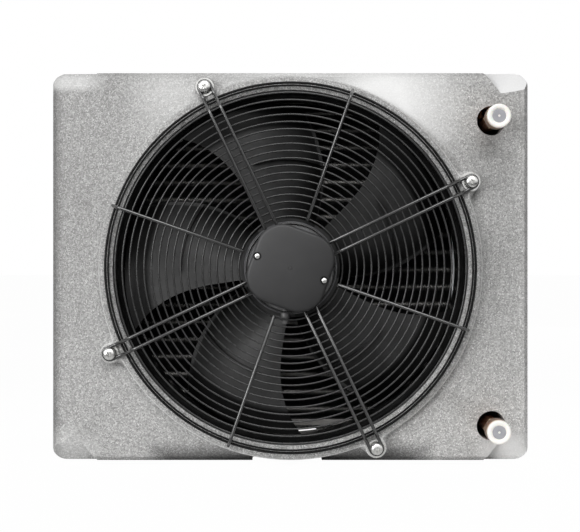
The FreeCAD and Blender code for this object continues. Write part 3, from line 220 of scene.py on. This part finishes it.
def foam_look():
    """Moulded foam: small beads of different greys with pits between them. Painted shade darkens it towards the
    left; painted light makes it paler at the right edge and towards the bottom. The fan side has a painted
    highlight round the collar, painted light in smooth pale patches, and painted shade at the middle of the
    base."""
    look = Look("foam_beads", Specular_IOR_Level=0.2)
    beads = look.ramp(look.beads(output="Color"), (0.0, (0.34, 0.338, 0.333)), (0.35, (0.50, 0.497, 0.49)),
                      (0.7, (0.66, 0.657, 0.65)), (1.0, (0.88, 0.878, 0.87)))
    pits = look.ramp(look.beads(feature="DISTANCE_TO_EDGE"), (0.0, 0.55), (0.12, 1.0))
    grain = look.varied(look.noise(1100, 2), 0.82, 1.10)
    cloud = look.varied(look.noise(9, 3), 0.93, 1.05)
    colour = look.times(look.times(look.times(beads, pits), grain), cloud)

    # Painted shade and light over the whole form: darker towards the left and at the left edge, paler at the
    # right edge and towards the bottom.
    side = look.along("X", (-321, 0.42), (-310, 0.71), (-150, 0.79), (0, 0.86), (300, 0.87), (320, 1.0))
    side = look.math("MULTIPLY", side, 1.15)
    height = look.along("Z", (30, 1.0), (330, 0.87))
    colour = look.times(look.times(colour, side), height)

    # Painted shade at the middle of the base, outside the collar, where the collar's shadow falls.
    fan_side = look.along("Y", (-128, 1.0), (-120, 0.0))
    gap = collar_edge(look)
    base = look.math("MAXIMUM", look.along("Z", (6, 0.30), (30, 1.0)),
                     look.graded(look.math("ABSOLUTE", look.axis("X")), 0, 1000, (150, 0.0), (200, 1.0)))
    base = look.math("MAXIMUM", base, look.graded(gap, -10, 10, (0.0, 1.0), (1.0, 0.0)))
    base = look.math("MAXIMUM", base, look.math("SUBTRACT", 1.0, fan_side))
    colour = look.times(colour, base)

    # Painted light: a pale strip at the upper left corner, and the patches.
    painted_light = look.math("MULTIPLY", look.along("Z", (503, 0.0), (510, 0.42)),
                     look.along("X", (-285, 1.0), (-245, 0.0)))
    for across, up, inner, outer, share in PAINTED_LIGHT_PATCHES:
        painted_light = look.math("MAXIMUM", painted_light, look.near(across, up, (inner, share), (outer, 0.0)))
    painted_light = look.math("MULTIPLY", painted_light, look.graded(gap, -10, 10, (0.0, 0.0), (1.2, 1.0)))
    painted_light = look.math("MULTIPLY", painted_light, fan_side)
    colour = look.mix(painted_light, colour, (0.88, 0.88, 0.875))

    # A painted highlight along the line just inside the collar's edge, fainter at the upper left.
    line = look.graded(gap, -10, 10, (-1.8, 0.0), (-1.3, 0.5), (-0.6, 0.5), (0.0, 0.0))
    line = look.math("MULTIPLY", line, look.near(-182, 446, (100, 0.1), (260, 1.0)))
    line = look.math("MULTIPLY", line, fan_side)
    look.colour(look.mix(line, colour, (0.86, 0.86, 0.85)))
    look.rough(look.varied(look.noise(300, 2), 0.62, 0.85))
    look.bump((look.beads(), 0.35, 0.5), (look.noise(1400, 2), 0.25, 0.25))
    return look.material


def recess_foam_look():
    """The upper right corner recess: smoother than the rest, and paler, which is painted light on its upward
    slope.
    """
    look = Look("foam_recess_lit", Specular_IOR_Level=0.3)
    look.colour(look.varied(look.noise(700, 3), 0.74, 0.82))
    look.rough(look.varied(look.noise(300, 2), 0.5, 0.65))
    look.bump((look.beads(), 0.15, 0.3))
    return look.material


def plastic_look(name, tones, roughs, grain=900, strength=0.15, scale=60, shine=0.5):
    """Moulded plastic: slow changes of tone, a fine grain in the surface."""
    look = Look(name, Specular_IOR_Level=shine)
    look.colour(look.varied(look.noise(scale, 4), *tones))
    look.rough(look.varied(look.noise(scale * 2, 3), *roughs))
    look.bump((look.noise(grain, 2), strength, 0.15))
    return look.material


def metal_look(name, tones, roughs, stretch=EVEN, scale=250, strength=0.1):
    """Bare metal: its tone and roughness vary, in streaks where it was drawn."""
    look = Look(name, Metallic=1.0)
    look.colour(look.varied(look.noise(scale, 4, stretch=stretch), *tones))
    look.rough(look.varied(look.noise(scale * 1.7, 3, stretch=stretch), *roughs))
    look.bump((look.noise(scale * 3, 2, stretch=stretch), strength, 0.1))
    return look.material


def blade_look():
    """Dark filled plastic with a little dust. Painted shade darkens the blades' tips, which are also duller,
    and one edge of each blade, which turns 170 degrees for each metre of radius."""
    look = Look("blade_plastic_dark", Specular_IOR_Level=0.14)
    step = 360 / BLADES
    up = look.math("SUBTRACT", look.axis("Z"), FAN / 1000)
    turn = look.math("MULTIPLY", look.math("ARCTAN2", up, look.axis("X")), 180 / math.pi)
    # The edge is given a full turn less, so that the angle past it is never negative.
    edge = look.math("MULTIPLY_ADD", look.away(0, FAN), 170.0, 48.8 - 360.0)
    chord = look.math("DIVIDE", look.math("MODULO", look.math("SUBTRACT", turn, edge), step), step)
    # Painted shade along one edge of each blade.
    shaded = look.ramp(chord, (0.04, 0.12), (0.34, 0.8), (0.55, 1.0))
    dust = look.ramp(look.noise(45, 5, rough=0.65), (0.35, 0.034), (0.75, 0.052))
    # Painted shade at the blades' tips.
    tip_shade = look.near(0, FAN, (188, 1.0), (195, 0.12))
    look.colour(look.times(look.times(dust, tip_shade), shaded))
    look.surface("Specular IOR Level", look.near(0, FAN, (188, 0.16), (195, 0.05)))
    look.rough(look.varied(look.noise(30, 4), 0.30, 0.38))
    look.bump((look.noise(700, 2), 0.12, 0.15), (look.noise(20, 2), 0.2, 0.6))
    return look.material


def push_cap_look():
    """Milky plastic of the push-on caps, browner down their sides, where the brass under them shows through."""
    look = Look("cap_milky", Subsurface_Weight=0.1, Subsurface_Scale=0.002, Roughness=0.35)
    tone = look.graded(look.axis("Y"), -185, -210,
                       (-192.5, (0.13, 0.065, 0.035)), (-201.5, (0.26, 0.14, 0.07)),
                       (-204.5, (0.80, 0.71, 0.60)), (-209.25, (0.97, 0.95, 0.91)))
    look.colour(look.times(tone, look.varied(look.noise(200, 3), 0.7, 0.95), 0.12))
    look.bump((look.noise(500, 2), 0.1, 0.15))
    return look.material


def motor_cap_look():
    """The terminal cap's dark plastic, with painted light making it a little paler towards its upper left."""
    look = Look("motor_cap_dark", Specular_IOR_Level=0.3)
    # Painted light: paler towards the upper left, darker towards the lower right.
    shade = look.near(-60, 320, (20, (0.058, 0.058, 0.059)), (140, (0.018, 0.018, 0.0185)))
    look.colour(look.times(shade, look.varied(look.noise(60, 4), 0.92, 1.0)))
    look.rough(look.varied(look.noise(120, 3), 0.42, 0.55))
    look.bump((look.noise(900, 2), 0.15, 0.15))
    return look.material


def fin_look():
    """Fins darkened as painted shade for the dark inside of the coil, streaked along their length."""
    look = Look("fin_dark_shaded", Metallic=0.3, Specular_IOR_Level=0.2)
    look.colour(look.varied(look.noise(60, 3, stretch=(14, 1, 1)), 0.012, 0.03))
    look.rough(look.varied(look.noise(90, 3), 0.42, 0.6))
    return look.material


FOAM = foam_look()
RECESS_PAINTED_LIGHT = recess_foam_look()
NOZZLE = plastic_look("nozzle_gloss", (0.006, 0.012), (0.10, 0.24), strength=0.06, shine=0.3)
GUARD = plastic_look("guard_coat", (0.014, 0.022), (0.22, 0.32), grain=1500)
ARM = plastic_look("guard_coat_arm", (0.014, 0.022), (0.18, 0.28), grain=1500, shine=1.0)
# The rim rings' coat is darker than the rest of the guard: painted shade.
RIM = plastic_look("guard_coat_rim_shaded", (0.008, 0.014), (0.35, 0.5), grain=1500, shine=0.1)
MOTOR = plastic_look("motor_dark", ((0.046, 0.046, 0.047), (0.056, 0.056, 0.057)), (0.42, 0.55), shine=0.3)
MOTOR_CAP = motor_cap_look()
SEAL = plastic_look("seal_rubber", (0.020, 0.034), (0.6, 0.8))
GLAND = plastic_look("gland_grey", (0.10, 0.16), (0.3, 0.45))
LOUVRE = plastic_look("louvre_grey", ((0.36, 0.365, 0.37), (0.42, 0.425, 0.43)), (0.42, 0.55))
BLADE = blade_look()
CAP = push_cap_look()
DISC = plastic_look("cap_disc", ((0.31, 0.312, 0.335), (0.38, 0.382, 0.405)), (0.4, 0.5), scale=150)
ZINC = metal_look("zinc_plate", ((0.62, 0.62, 0.61), (0.80, 0.80, 0.78)), (0.20, 0.36))
STEEL = metal_look("motor_steel", (0.30, 0.42), (0.35, 0.5))
CAST = metal_look("motor_cast", ((0.10, 0.10, 0.105), (0.16, 0.16, 0.165)), (0.42, 0.6), scale=120,
                  strength=0.3)
COPPER = metal_look("copper_tube", ((0.24, 0.10, 0.05), (0.38, 0.17, 0.09)), (0.25, 0.45),
                    stretch=(1, 0.1, 1))
WINDING = metal_look("winding_copper", ((0.40, 0.14, 0.06), (0.56, 0.24, 0.10)), (0.3, 0.45))
BRASS = metal_look("brass_turned", ((0.60, 0.44, 0.22), (0.76, 0.60, 0.36)), (0.25, 0.4))
# Grey metal for the coil's tubes and its top and bottom plates.
TUBE = metal_look("tube_grey_metal", ((0.30, 0.29, 0.28), (0.42, 0.41, 0.40)), (0.45, 0.6), scale=70)
# The coil's end plates: pale galvanised metal, made near white partly as painted sheen.
BRIGHT = plastic_look("galvanised_pale_sheen", ((0.76, 0.77, 0.78), (0.88, 0.89, 0.90)), (0.5, 0.6))
FIN = fin_look()


def placed(name, data):
    """A new object in the scene."""
    made = bpy.data.objects.new(name, data)
    bpy.context.scene.collection.objects.link(made)
    return made


def add(name, mesh, slot, material, *nodes, body="casing", smooth=40):
    """A new piece: its body, its material, and the nodes that it stands for. The slot is not used."""
    piece = placed(name, mesh)
    mesh.materials.clear()
    mesh.materials.append(material)
    mesh.shade_smooth()
    mesh.set_sharp_from_angle(angle=math.radians(smooth))
    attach(piece, body)
    if nodes:
        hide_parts(*nodes)
    return piece


def build(name, make):
    """A mesh in metres from a function that fills a bmesh in millimetres."""
    shape = bmesh.new()
    make(shape)
    bmesh.ops.scale(shape, vec=(0.001, 0.001, 0.001), verts=shape.verts)
    bmesh.ops.recalc_face_normals(shape, faces=shape.faces)
    mesh = bpy.data.meshes.new(name)
    shape.to_mesh(mesh)
    shape.free()
    return mesh


def add_built(name, make, slot, material, *nodes, **settings):
    """A new piece whose mesh a function makes."""
    return add(name, build(name, make), slot, material, *nodes, **settings)


def loft(shape, rings, closed=False):
    """Skins rings of points; closed joins the last ring to the first, else both ends are capped."""
    made = [[shape.verts.new(point) for point in ring] for ring in rings]
    count = len(made[0])
    pairs = list(zip(made, made[1:]))
    if closed:
        pairs.append((made[-1], made[0]))
    for first, last in pairs:
        for index in range(count):
            after = (index + 1) % count
            shape.faces.new((first[index], first[after], last[after], last[index]))
    if not closed:
        shape.faces.new(made[0])
        shape.faces.new(made[-1])


def turned(shape, profile, centre, steps, closed=True, axis="Y"):
    """Turns a profile of (radius, along) about an axis through centre. Each radius is more than 0."""
    rings = []
    for radius, along in profile:
        ring = []
        for step in range(steps):
            turn = 2 * math.pi * step / steps
            across, up = radius * math.cos(turn), radius * math.sin(turn)
            offset = (across, along, up) if axis == "Y" else (along, across, up)
            ring.append(centre + Vector(offset))
        rings.append(ring)
    loft(shape, rings, closed)


def rounded_path(points, radii):
    """Points along straight runs with tangent arcs at the inner corners."""
    steps = 7
    nearest = 0.01
    path = [points[0]]
    for index, radius in enumerate(radii, 1):
        corner = points[index]
        into = (points[index - 1] - corner).normalized()
        out = (points[index + 1] - corner).normalized()
        half = into.angle(out) / 2
        reach = radius / math.tan(half)
        first, last = corner + into * reach, corner + out * reach
        centre = corner + (into + out).normalized() * (radius / math.sin(half))
        start, end = first - centre, last - centre
        spread = start.angle(end)
        for step in range(steps + 1):
            share = step / steps
            spoke = start * math.sin((1 - share) * spread) + end * math.sin(share * spread)
            point = centre + spoke / math.sin(spread)
            if (point - path[-1]).length > nearest:
                path.append(point)
    if (points[-1] - path[-1]).length > nearest:
        path.append(points[-1])
    return path


def tube(shape, path, radius, sides, closed=False, domed=True):
    """Round wire along a path, with slightly rounded ends."""
    dome = [(0.35, 0.55), (0.2, 0.85), (0.0, 1.0)]
    count = len(path)
    rings = []
    side = None
    for index, point in enumerate(path):
        before = path[index - 1] if index or closed else point
        after = path[(index + 1) % count] if index < count - 1 or closed else point
        along = (after - before).normalized()
        if side is None:
            side = along.orthogonal().normalized()
        side = (side - along * side.dot(along)).normalized()
        above = along.cross(side)
        ends = [(0.0, 1.0)]
        if domed and not closed and index == 0:
            ends = [(-shift, share) for shift, share in dome]
        if domed and not closed and index == count - 1:
            ends = reversed(dome)
        for shift, share in ends:
            middle = point + along * shift * radius
            ring = []
            for step in range(sides):
                turn = 2 * math.pi * step / sides
                ring.append(middle + (side * math.cos(turn) + above * math.sin(turn)) * radius * share)
            rings.append(ring)
    loft(shape, rings, closed)


def cut(holder, mesh, use_self=False):
    """Takes a mesh away from the holder by a modifier, and gives the object that carries the mesh."""
    knife = placed("knife", mesh)
    carve = holder.modifiers.new("carve", "BOOLEAN")
    carve.operation = "DIFFERENCE"
    carve.solver = "EXACT"
    carve.use_self = use_self
    carve.object = knife
    return knife


def applied(*objects):
    """The first object's mesh with its modifiers applied. All the objects are deleted."""
    depsgraph = bpy.context.evaluated_depsgraph_get()
    done = bpy.data.meshes.new_from_object(objects[0].evaluated_get(depsgraph))
    for spent in objects:
        bpy.data.objects.remove(spent)
    return done


def softened(name, cutter=None):
    """A CAD node's own form as a mesh, less the cutter, with its edges rounded."""
    shape = bmesh.new()
    shape.from_mesh(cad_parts[name].data)
    bmesh.ops.remove_doubles(shape, verts=shape.verts, dist=0.00002)
    bmesh.ops.dissolve_limit(shape, angle_limit=math.radians(0.6), verts=shape.verts, edges=shape.edges)
    mesh = bpy.data.meshes.new(name + "_soft")
    shape.to_mesh(mesh)
    shape.free()
    holder = placed("holder", mesh)
    used = [holder]
    if cutter is not None:
        used.append(cut(holder, cutter))
    bevel = holder.modifiers.new("edges", "BEVEL")
    bevel.width = MOULDED_EDGE / 1000
    bevel.segments = 3
    bevel.limit_method = "ANGLE"
    bevel.angle_limit = math.radians(35)
    return applied(*used)


def carved(mesh, cutter):
    """A mesh less another one."""
    holder = placed("holder", mesh)
    return applied(holder, cut(holder, cutter, use_self=True))


# The foam shells, with the edges that moulded foam has.
def corner_cutters(shape):
    """The space in front of the four sloped corner recesses. Their slope starts at the crease, just behind
    the rim, and their inner side leans in by 0.75 mm for each mm of height."""
    outside = CASING_SIDE + 10
    past_rim = 0.2
    for side in (-1, 1):
        for low in (False, True):
            rings = []
            for level in (486.0, 536.0):
                inner = 283.0 - 0.75 * (level - 505.0)
                back = RIM_DEPTH + past_rim + (level - RECESS_CREASE) * RECESS_SINK / RECESS_RISE
                height = CASING_TOP - level if low else level
                corners = ((inner, COLLAR_FACE), (outside, COLLAR_FACE), (outside, back), (inner, back))
                rings.append([Vector((side * across, depth, height)) for across, depth in corners])
            loft(shape, rings)


recesses = build("corner_recesses", corner_cutters)
rear = add("foam_rear", softened("rear_shell", recesses), "foam", FOAM, "rear_shell", smooth=28)
# The sloped faces of the upper right recess take the smoother foam with painted light.
rear.data.materials.append(RECESS_PAINTED_LIGHT)
for face in rear.data.polygons:
    middle = face.center * 1000
    sloped = -0.9 < face.normal.y < -0.6 and abs(face.normal.z) > 0.4
    upper_right = middle.x > 262 and middle.z > 500
    if sloped and upper_right:
        face.material_index = 1
add("foam_front", softened("front_shell"), "foam", FOAM, "front_shell", smooth=28)


# The wire guard. Each ring is (radius, depth, radius of its wire).
def guard_rings(shape):
    face_rings = [(58.9 + 9.6 * index, -193.1, 1.25) for index in range(19)]
    rim_rings = [(243.0, -179.0, 1.4), (247.0, -176.4, 1.8)]
    for radius, depth, wire in face_rings + rim_rings:
        steps = max(48, int(radius * 0.8))
        path = [at_fan(radius, 360 * step / steps, depth) for step in range(steps)]
        tube(shape, path, wire, 10, closed=True)


def guard_spokes(shape):
    """Single wires that run out over the rings and turn down onto the rim."""
    first = 70.7
    stops = ((66, WIRE_DEPTH), (241.5, WIRE_DEPTH), (251, -177.5))
    for quarter in range(4):
        path = [at_fan(radius, first + quarter * 90, depth) for radius, depth in stops]
        tube(shape, rounded_path(path, [8]), WIRE_RADIUS, 14)


def guard_arms(shape):
    """Hairpins that run out beside each other, come down on the washer and go round its bolt."""
    apart = 8
    landing = COLLAR_FACE - WASHER - WIRE_RADIUS
    stops = [(36, WIRE_DEPTH), (234, WIRE_DEPTH), (252, landing), (275.5, landing)]
    centre = Vector((0, 0, FAN))
    for angle in BOLT_ANGLES:
        turn = math.radians(angle)
        out = Vector((math.cos(turn), 0, math.sin(turn)))
        across = Vector((-math.sin(turn), 0, math.cos(turn)))
        line = [centre + out * radius + Vector((0, depth, 0)) for radius, depth in stops]
        there = [point + across * apart for point in line]
        back = [point - across * apart for point in reversed(line)]
        bend, loop = 12, apart - 0.01
        path = rounded_path(there + back, [bend, bend, loop, loop, bend, bend])
        tube(shape, path, WIRE_RADIUS, 14)


rings = add_built("guard_rings_round", guard_rings, "guard_black", GUARD, "guard_rings", smooth=60)
# The rim rings take the darker coat, as painted shade.
rings.data.materials.append(RIM)
for face in rings.data.polygons:
    on_rim = face.center.y > -0.185
    face.material_index = int(on_rim)
add_built("guard_spokes_round", guard_spokes, "guard_black", ARM, "guard_spokes", smooth=60)
add_built("guard_arms_round", guard_arms, "guard_black", ARM, "guard_arms", smooth=60)


# Guard bolts with domed heads and cross recesses, and their washers.
def bolt_heads(shape):
    """Each point of the profile is (radius, how far it lies behind the seat)."""
    profile = [(0.4, 30), (3.4, 30), (4, 29), (4, 0), (7.7, 0), (8, -0.3), (8, -2.2), (7.7, -3.4),
               (7.0, -4.3), (5.8, -4.95), (4.4, -5.3), (2.8, -5.48), (1.2, -5.5), (0.4, -5.5)]
    profile = [(radius, BOLT_SEAT + behind) for radius, behind in profile]
    for angle in BOLT_ANGLES:
        turned(shape, profile, at_fan(BOLT_CIRCLE, angle, 0), 40, closed=False)


def cross_cutters(shape):
    """Two tapered bars for each bolt. Each bolt was tightened to a different turn."""
    ends = ((-6.5, 4.2, 0.95), (-2.3, 1.9, 0.6))
    corners = ((-1, -1), (1, -1), (1, 1), (-1, 1))
    for angle, twist in zip(BOLT_ANGLES, (20, 62, 35, 80)):
        centre = at_fan(BOLT_CIRCLE, angle, BOLT_SEAT)
        for half in (0, 90):
            turn = math.radians(twist + half)
            along = Vector((math.cos(turn), 0, math.sin(turn)))
            across = Vector((-math.sin(turn), 0, math.cos(turn)))
            rings = []
            for depth, reach, wide in ends:
                middle = centre + Vector((0, depth, 0))
                rings.append([middle + along * reach * a + across * wide * b for a, b in corners])
            loft(shape, rings)


def washers(shape):
    """Each point of the profile is (radius, how far it stands in front of the collar)."""
    profile = [(4.3, 0.02), (12.1, 0.02), (12.5, 0.4), (12.5, 1.5), (12.0, 1.98), (4.9, 1.98), (4.3, 1.5)]
    profile = [(radius, COLLAR_FACE - before) for radius, before in profile]
    for angle in BOLT_ANGLES:
        turned(shape, profile, at_fan(BOLT_CIRCLE, angle, 0), 48)


heads = carved(build("bolts", bolt_heads), build("crosses", cross_cutters))
add("bolts_domed", heads, "zinc_steel", ZINC, "guard_bolts", smooth=35)
add_built("washers_bevelled", washers, "zinc_steel", ZINC, "guard_washers")


# The motor's cap: a rounded square with a soft bevel, a faint crown and a gate mark in its middle.
def square_ring(half, corner, depth):
    steps = 12
    tilt = math.radians(CAP_TILT)
    ring = []
    for quarter in range(4):
        for step in range(steps + 1):
            angle = math.radians(quarter * 90 + 90 * step / steps)
            x = (half - corner) * (1 if quarter in (0, 3) else -1) + corner * math.cos(angle)
            z = (half - corner) * (1 if quarter in (0, 1) else -1) + corner * math.sin(angle)
            ring.append(Vector((x * math.cos(tilt) - z * math.sin(tilt), depth,
                                FAN + x * math.sin(tilt) + z * math.cos(tilt))))
    return ring


def motor_cap(shape):
    half, corner, start, bevel_start = 52.5, 34.5, -204.0, -216.2
    crown = ((42, -221.3), (34, -221.6), (22, -221.8), (10, -221.9), (4, -221.93))
    gate = ((3.2, -221.93), (3.0, -221.5), (2.2, -221.45), (1.6, -221.5), (1.3, -221.75), (0.5, -221.8))
    rings = [square_ring(half - 2, corner - 2, start), square_ring(half, corner, start),
             square_ring(half, corner, bevel_start)]
    for step in range(1, 7):
        turn = math.radians(90 * step / 6)
        inset = 4.2 * (1 - math.cos(turn))
        rings.append(square_ring(half - inset, corner - inset, bevel_start - 4.6 * math.sin(turn)))
    for size, depth in crown:
        rings.append(square_ring(size, size * 0.66, depth))
    outwards = [Vector((point.x, 0, point.z - FAN)).normalized() for point in rings[0]]
    for radius, depth in gate:
        rings.append([Vector((0, depth, FAN)) + away * radius for away in outwards])
    loft(shape, rings)


def at_cap_screws(shape, profile, steps):
    """The same turned form at both of the cap's screws."""
    for angle in (CAP_TILT, CAP_TILT + 180):
        turned(shape, profile, at_fan(CAP_SCREW_CIRCLE, angle, 0), steps, closed=False)


def cap_pockets(shape):
    at_cap_screws(shape, [(0.5, -232), (5.6, -232), (5.4, -217.0), (0.5, -217.0)], 32)


def cap_screws(shape):
    at_cap_screws(shape, [(0.3, -199.2), (1.9, -199.2), (1.9, -219.8), (3.5, -219.8), (3.6, -220.4),
                          (3.3, -221.1), (2.4, -221.6), (1.2, -221.75), (0.3, -221.75)], 28)


cap_mesh = carved(build("motor_cap_soft", motor_cap), build("cap_pockets", cap_pockets))
add("motor_cap_soft", cap_mesh, "motor_dark", MOTOR_CAP, "motor_cap", smooth=35)
add_built("cap_screws_domed", cap_screws, "zinc_steel", ZINC, "motor_cap_screws")


# The coil: thin corrugated fins at their real pitch, round tubes, and the bends at the left end.
def fins(shape):
    """Each point of the waves is (depth, how far the fin is pressed sideways there)."""
    count = 230
    spread = 459.0
    half_thick = 0.08
    ends = (46.5, 496.5)
    waves = [(-62.0, 0.0), (-51.0, 0.0), (-45.0, -1.1), (-34.0, 1.1), (-23.0, -1.1), (-18.0, 0.0)]
    for index in range(count):
        x = -spread / 2 + spread * index / (count - 1)
        outline = [(x + shift - half_thick, depth) for depth, shift in waves]
        outline += [(x + shift + half_thick, depth) for depth, shift in reversed(waves)]
        loft(shape, [[Vector((across, depth, level)) for across, depth in outline] for level in ends])


def coil_tubes(shape):
    """The lowest pair is blind and ends at the right end plate. The others run on to the headers."""
    for level in TUBE_LEVELS:
        end = END_PLATES if level == TUBE_LEVELS[0] else 267.0
        for depth in TUBE_ROWS:
            turned(shape, [(4.3, -END_PLATES), (4.8, -END_PLATES), (4.8, end), (4.3, end)],
                   Vector((0, depth, level)), 20, axis="X")


def bends(shape):
    steps = 14
    middle = sum(TUBE_ROWS) / 2
    radius = middle - TUBE_ROWS[0]
    for level in TUBE_LEVELS[1:]:
        path = []
        for step in range(steps + 1):
            turn = math.pi * step / steps
            past, depth = radius * math.sin(turn), middle - radius * math.cos(turn)
            path.append(Vector((-END_PLATES - past, depth, level)))
        tube(shape, path, 4.6, 14, domed=False)


add_built("fins_thin", fins, "coil_aluminium", FIN, "coil_fins")
add_built("tubes_round", coil_tubes, "copper", TUBE, "coil_tubes")
add_built("bends_round", bends, "copper", COPPER, "return_bends")


# Push-on caps: a skirt, a rounded shoulder and a dished disc with a gate mark.
CAP_PROFILE = [(13.52, -184.3), (15.5, -184.3), (15.8, -184.6), (15.8, -207.6), (15.5, -208.6),
               (14.7, -209.25), (13.4, -209.3), (10.3, -209.3), (9.9, -209.0), (9.8, -208.2), (9.0, -208.05),
               (1.6, -208.05), (1.3, -208.5), (0.4, -208.6), (0.4, -206.0), (13.52, -206.0)]
DISC_PROFILE = [(0.3, -208.12), (8.9, -208.12), (8.9, -208.3), (1.8, -208.3), (0.3, -208.3)]
for cap, level in (("return_cap", 463.2), ("supply_cap", 49.2)):
    pipe = Vector((PIPE_ACROSS, 0, level))
    add_built(cap + "_soft", lambda shape: turned(shape, CAP_PROFILE, pipe, 56),
              "cap_plastic", CAP, cap, body=cap)
    add_built(cap + "_disc", lambda shape: turned(shape, DISC_PROFILE, pipe, 40, closed=False),
              "cap_plastic", DISC, body=cap)


# The CAD nodes that stay in view.
for names, material in (
    ("fan_nozzle", NOZZLE),
    ("guard_inserts bracket_inserts", ZINC),
    ("motor_base_plate", MOTOR),
    ("motor_cap_gasket", SEAL),
    ("cable_gland", GLAND),
    ("stator_flange rotor_pot", CAST),
    ("stator_stack motor_bearings rotor_shaft rotor_magnets", STEEL),
    ("stator_windings", WINDING),
    ("impeller", BLADE),
    ("coil_end_plate_left coil_end_plate_right", BRIGHT),
    ("coil_bottom_plate coil_top_plate", TUBE),
    ("return_header supply_header return_stub_pipe supply_stub_pipe", COPPER),
    ("return_fitting supply_fitting", BRASS),
    ("louvre_1 louvre_2 louvre_3 louvre_4 louvre_5 louvre_rail_left louvre_rail_right", LOUVRE),
):
    for name in names.split():
        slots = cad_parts[name].data.materials
        slots.clear()
        slots.append(material)


# Floor, world, lamps and camera.
def pale_floor():
    """Nearly white to the camera, pale grey to the light near the object, and dark to it further out."""
    half = 12.0
    mesh = bpy.data.meshes.new("floor")
    corners = [(-half, -half, 0), (half, -half, 0), (half, half, 0), (-half, half, 0)]
    mesh.from_pydata(corners, [], [(0, 1, 2, 3)])
    placed("floor", mesh)
    look = Look("floor_pale", Roughness=0.9, Specular_IOR_Level=0.0)
    reach = look.new("ShaderNodeVectorMath", {0: look.coords}, operation="LENGTH").outputs["Value"]
    look.colour(look.ramp(reach, (0.5, 0.78), (1.0, 0.12)))
    glow = look.new("ShaderNodeEmission", {"Strength": 1.0})
    share = look.math("MULTIPLY", look.new("ShaderNodeLightPath").outputs["Is Camera Ray"], 0.985)
    blend = look.new("ShaderNodeMixShader", {0: share, 1: look.shader.outputs[0], 2: glow.outputs[0]})
    feed(look.tree, look.tree.nodes["Material Output"].inputs["Surface"], blend.outputs[0])
    mesh.materials.append(look.material)


def pale_world():
    """A dim even light, and plain white to the camera, in gloss and through what is clear."""
    world = bpy.data.worlds.new("studio")
    bpy.context.scene.world = world
    world.use_nodes = True
    tree = world.node_tree
    light = tree.nodes["Background"]
    feed(tree, light.inputs["Color"], (1.0, 0.99, 0.97))
    feed(tree, light.inputs["Strength"], 0.05)
    white = node(tree, "ShaderNodeBackground", {"Color": (1.0, 1.0, 1.0)})
    path = node(tree, "ShaderNodeLightPath")
    seen = path.outputs["Is Camera Ray"]
    for output in ("Is Glossy Ray", "Is Transmission Ray"):
        inputs = {0: seen, 1: path.outputs[output]}
        seen = node(tree, "ShaderNodeMath", inputs, operation="MAXIMUM").outputs[0]
    blend = node(tree, "ShaderNodeMixShader", {0: seen, 1: light.outputs[0], 2: white.outputs[0]})
    feed(tree, tree.nodes["World Output"].inputs["Surface"], blend.outputs[0])


def lamp(name, place, target, size, power):
    """A rectangular area lamp. Places and sizes are in metres."""
    data = bpy.data.lights.new(name, "AREA")
    data.shape = "RECTANGLE"
    data.size, data.size_y = size
    data.energy = power
    made = placed(name, data)
    made.location = place
    made.rotation_euler = (Vector(target) - Vector(place)).to_track_quat("-Z", "Y").to_euler()


def photo_camera():
    """Level, in front of the fan side. The shift moves the frame by a few of the photograph's pixels."""
    photo_width = 580
    data = bpy.data.cameras.new("camera")
    data.lens = 74.2
    data.sensor_width = 36.0
    data.shift_x = 6 / photo_width
    data.shift_y = -16 / photo_width
    camera = placed("camera", data)
    camera.location = Vector((-8.7, -1770, 287.7)) / 1000
    camera.rotation_euler = (math.radians(90), 0, 0)
    bpy.context.scene.camera = camera


pale_floor()
pale_world()
lamp("lamp_top", (0.3, -2.8, 2.8), (0, -0.1, 0.25), (2.6, 2.0), 92)
lamp("lamp_left", (-2.0, -2.4, 0.95), (0, -0.1, 0.25), (1.5, 1.5), 62)
lamp("lamp_back", (1.3, 2.4, 0.9), (0, 0.1, 0.25), (1.8, 1.4), 85)
photo_camera()
bpy.context.scene.view_settings.view_transform = "Standard"
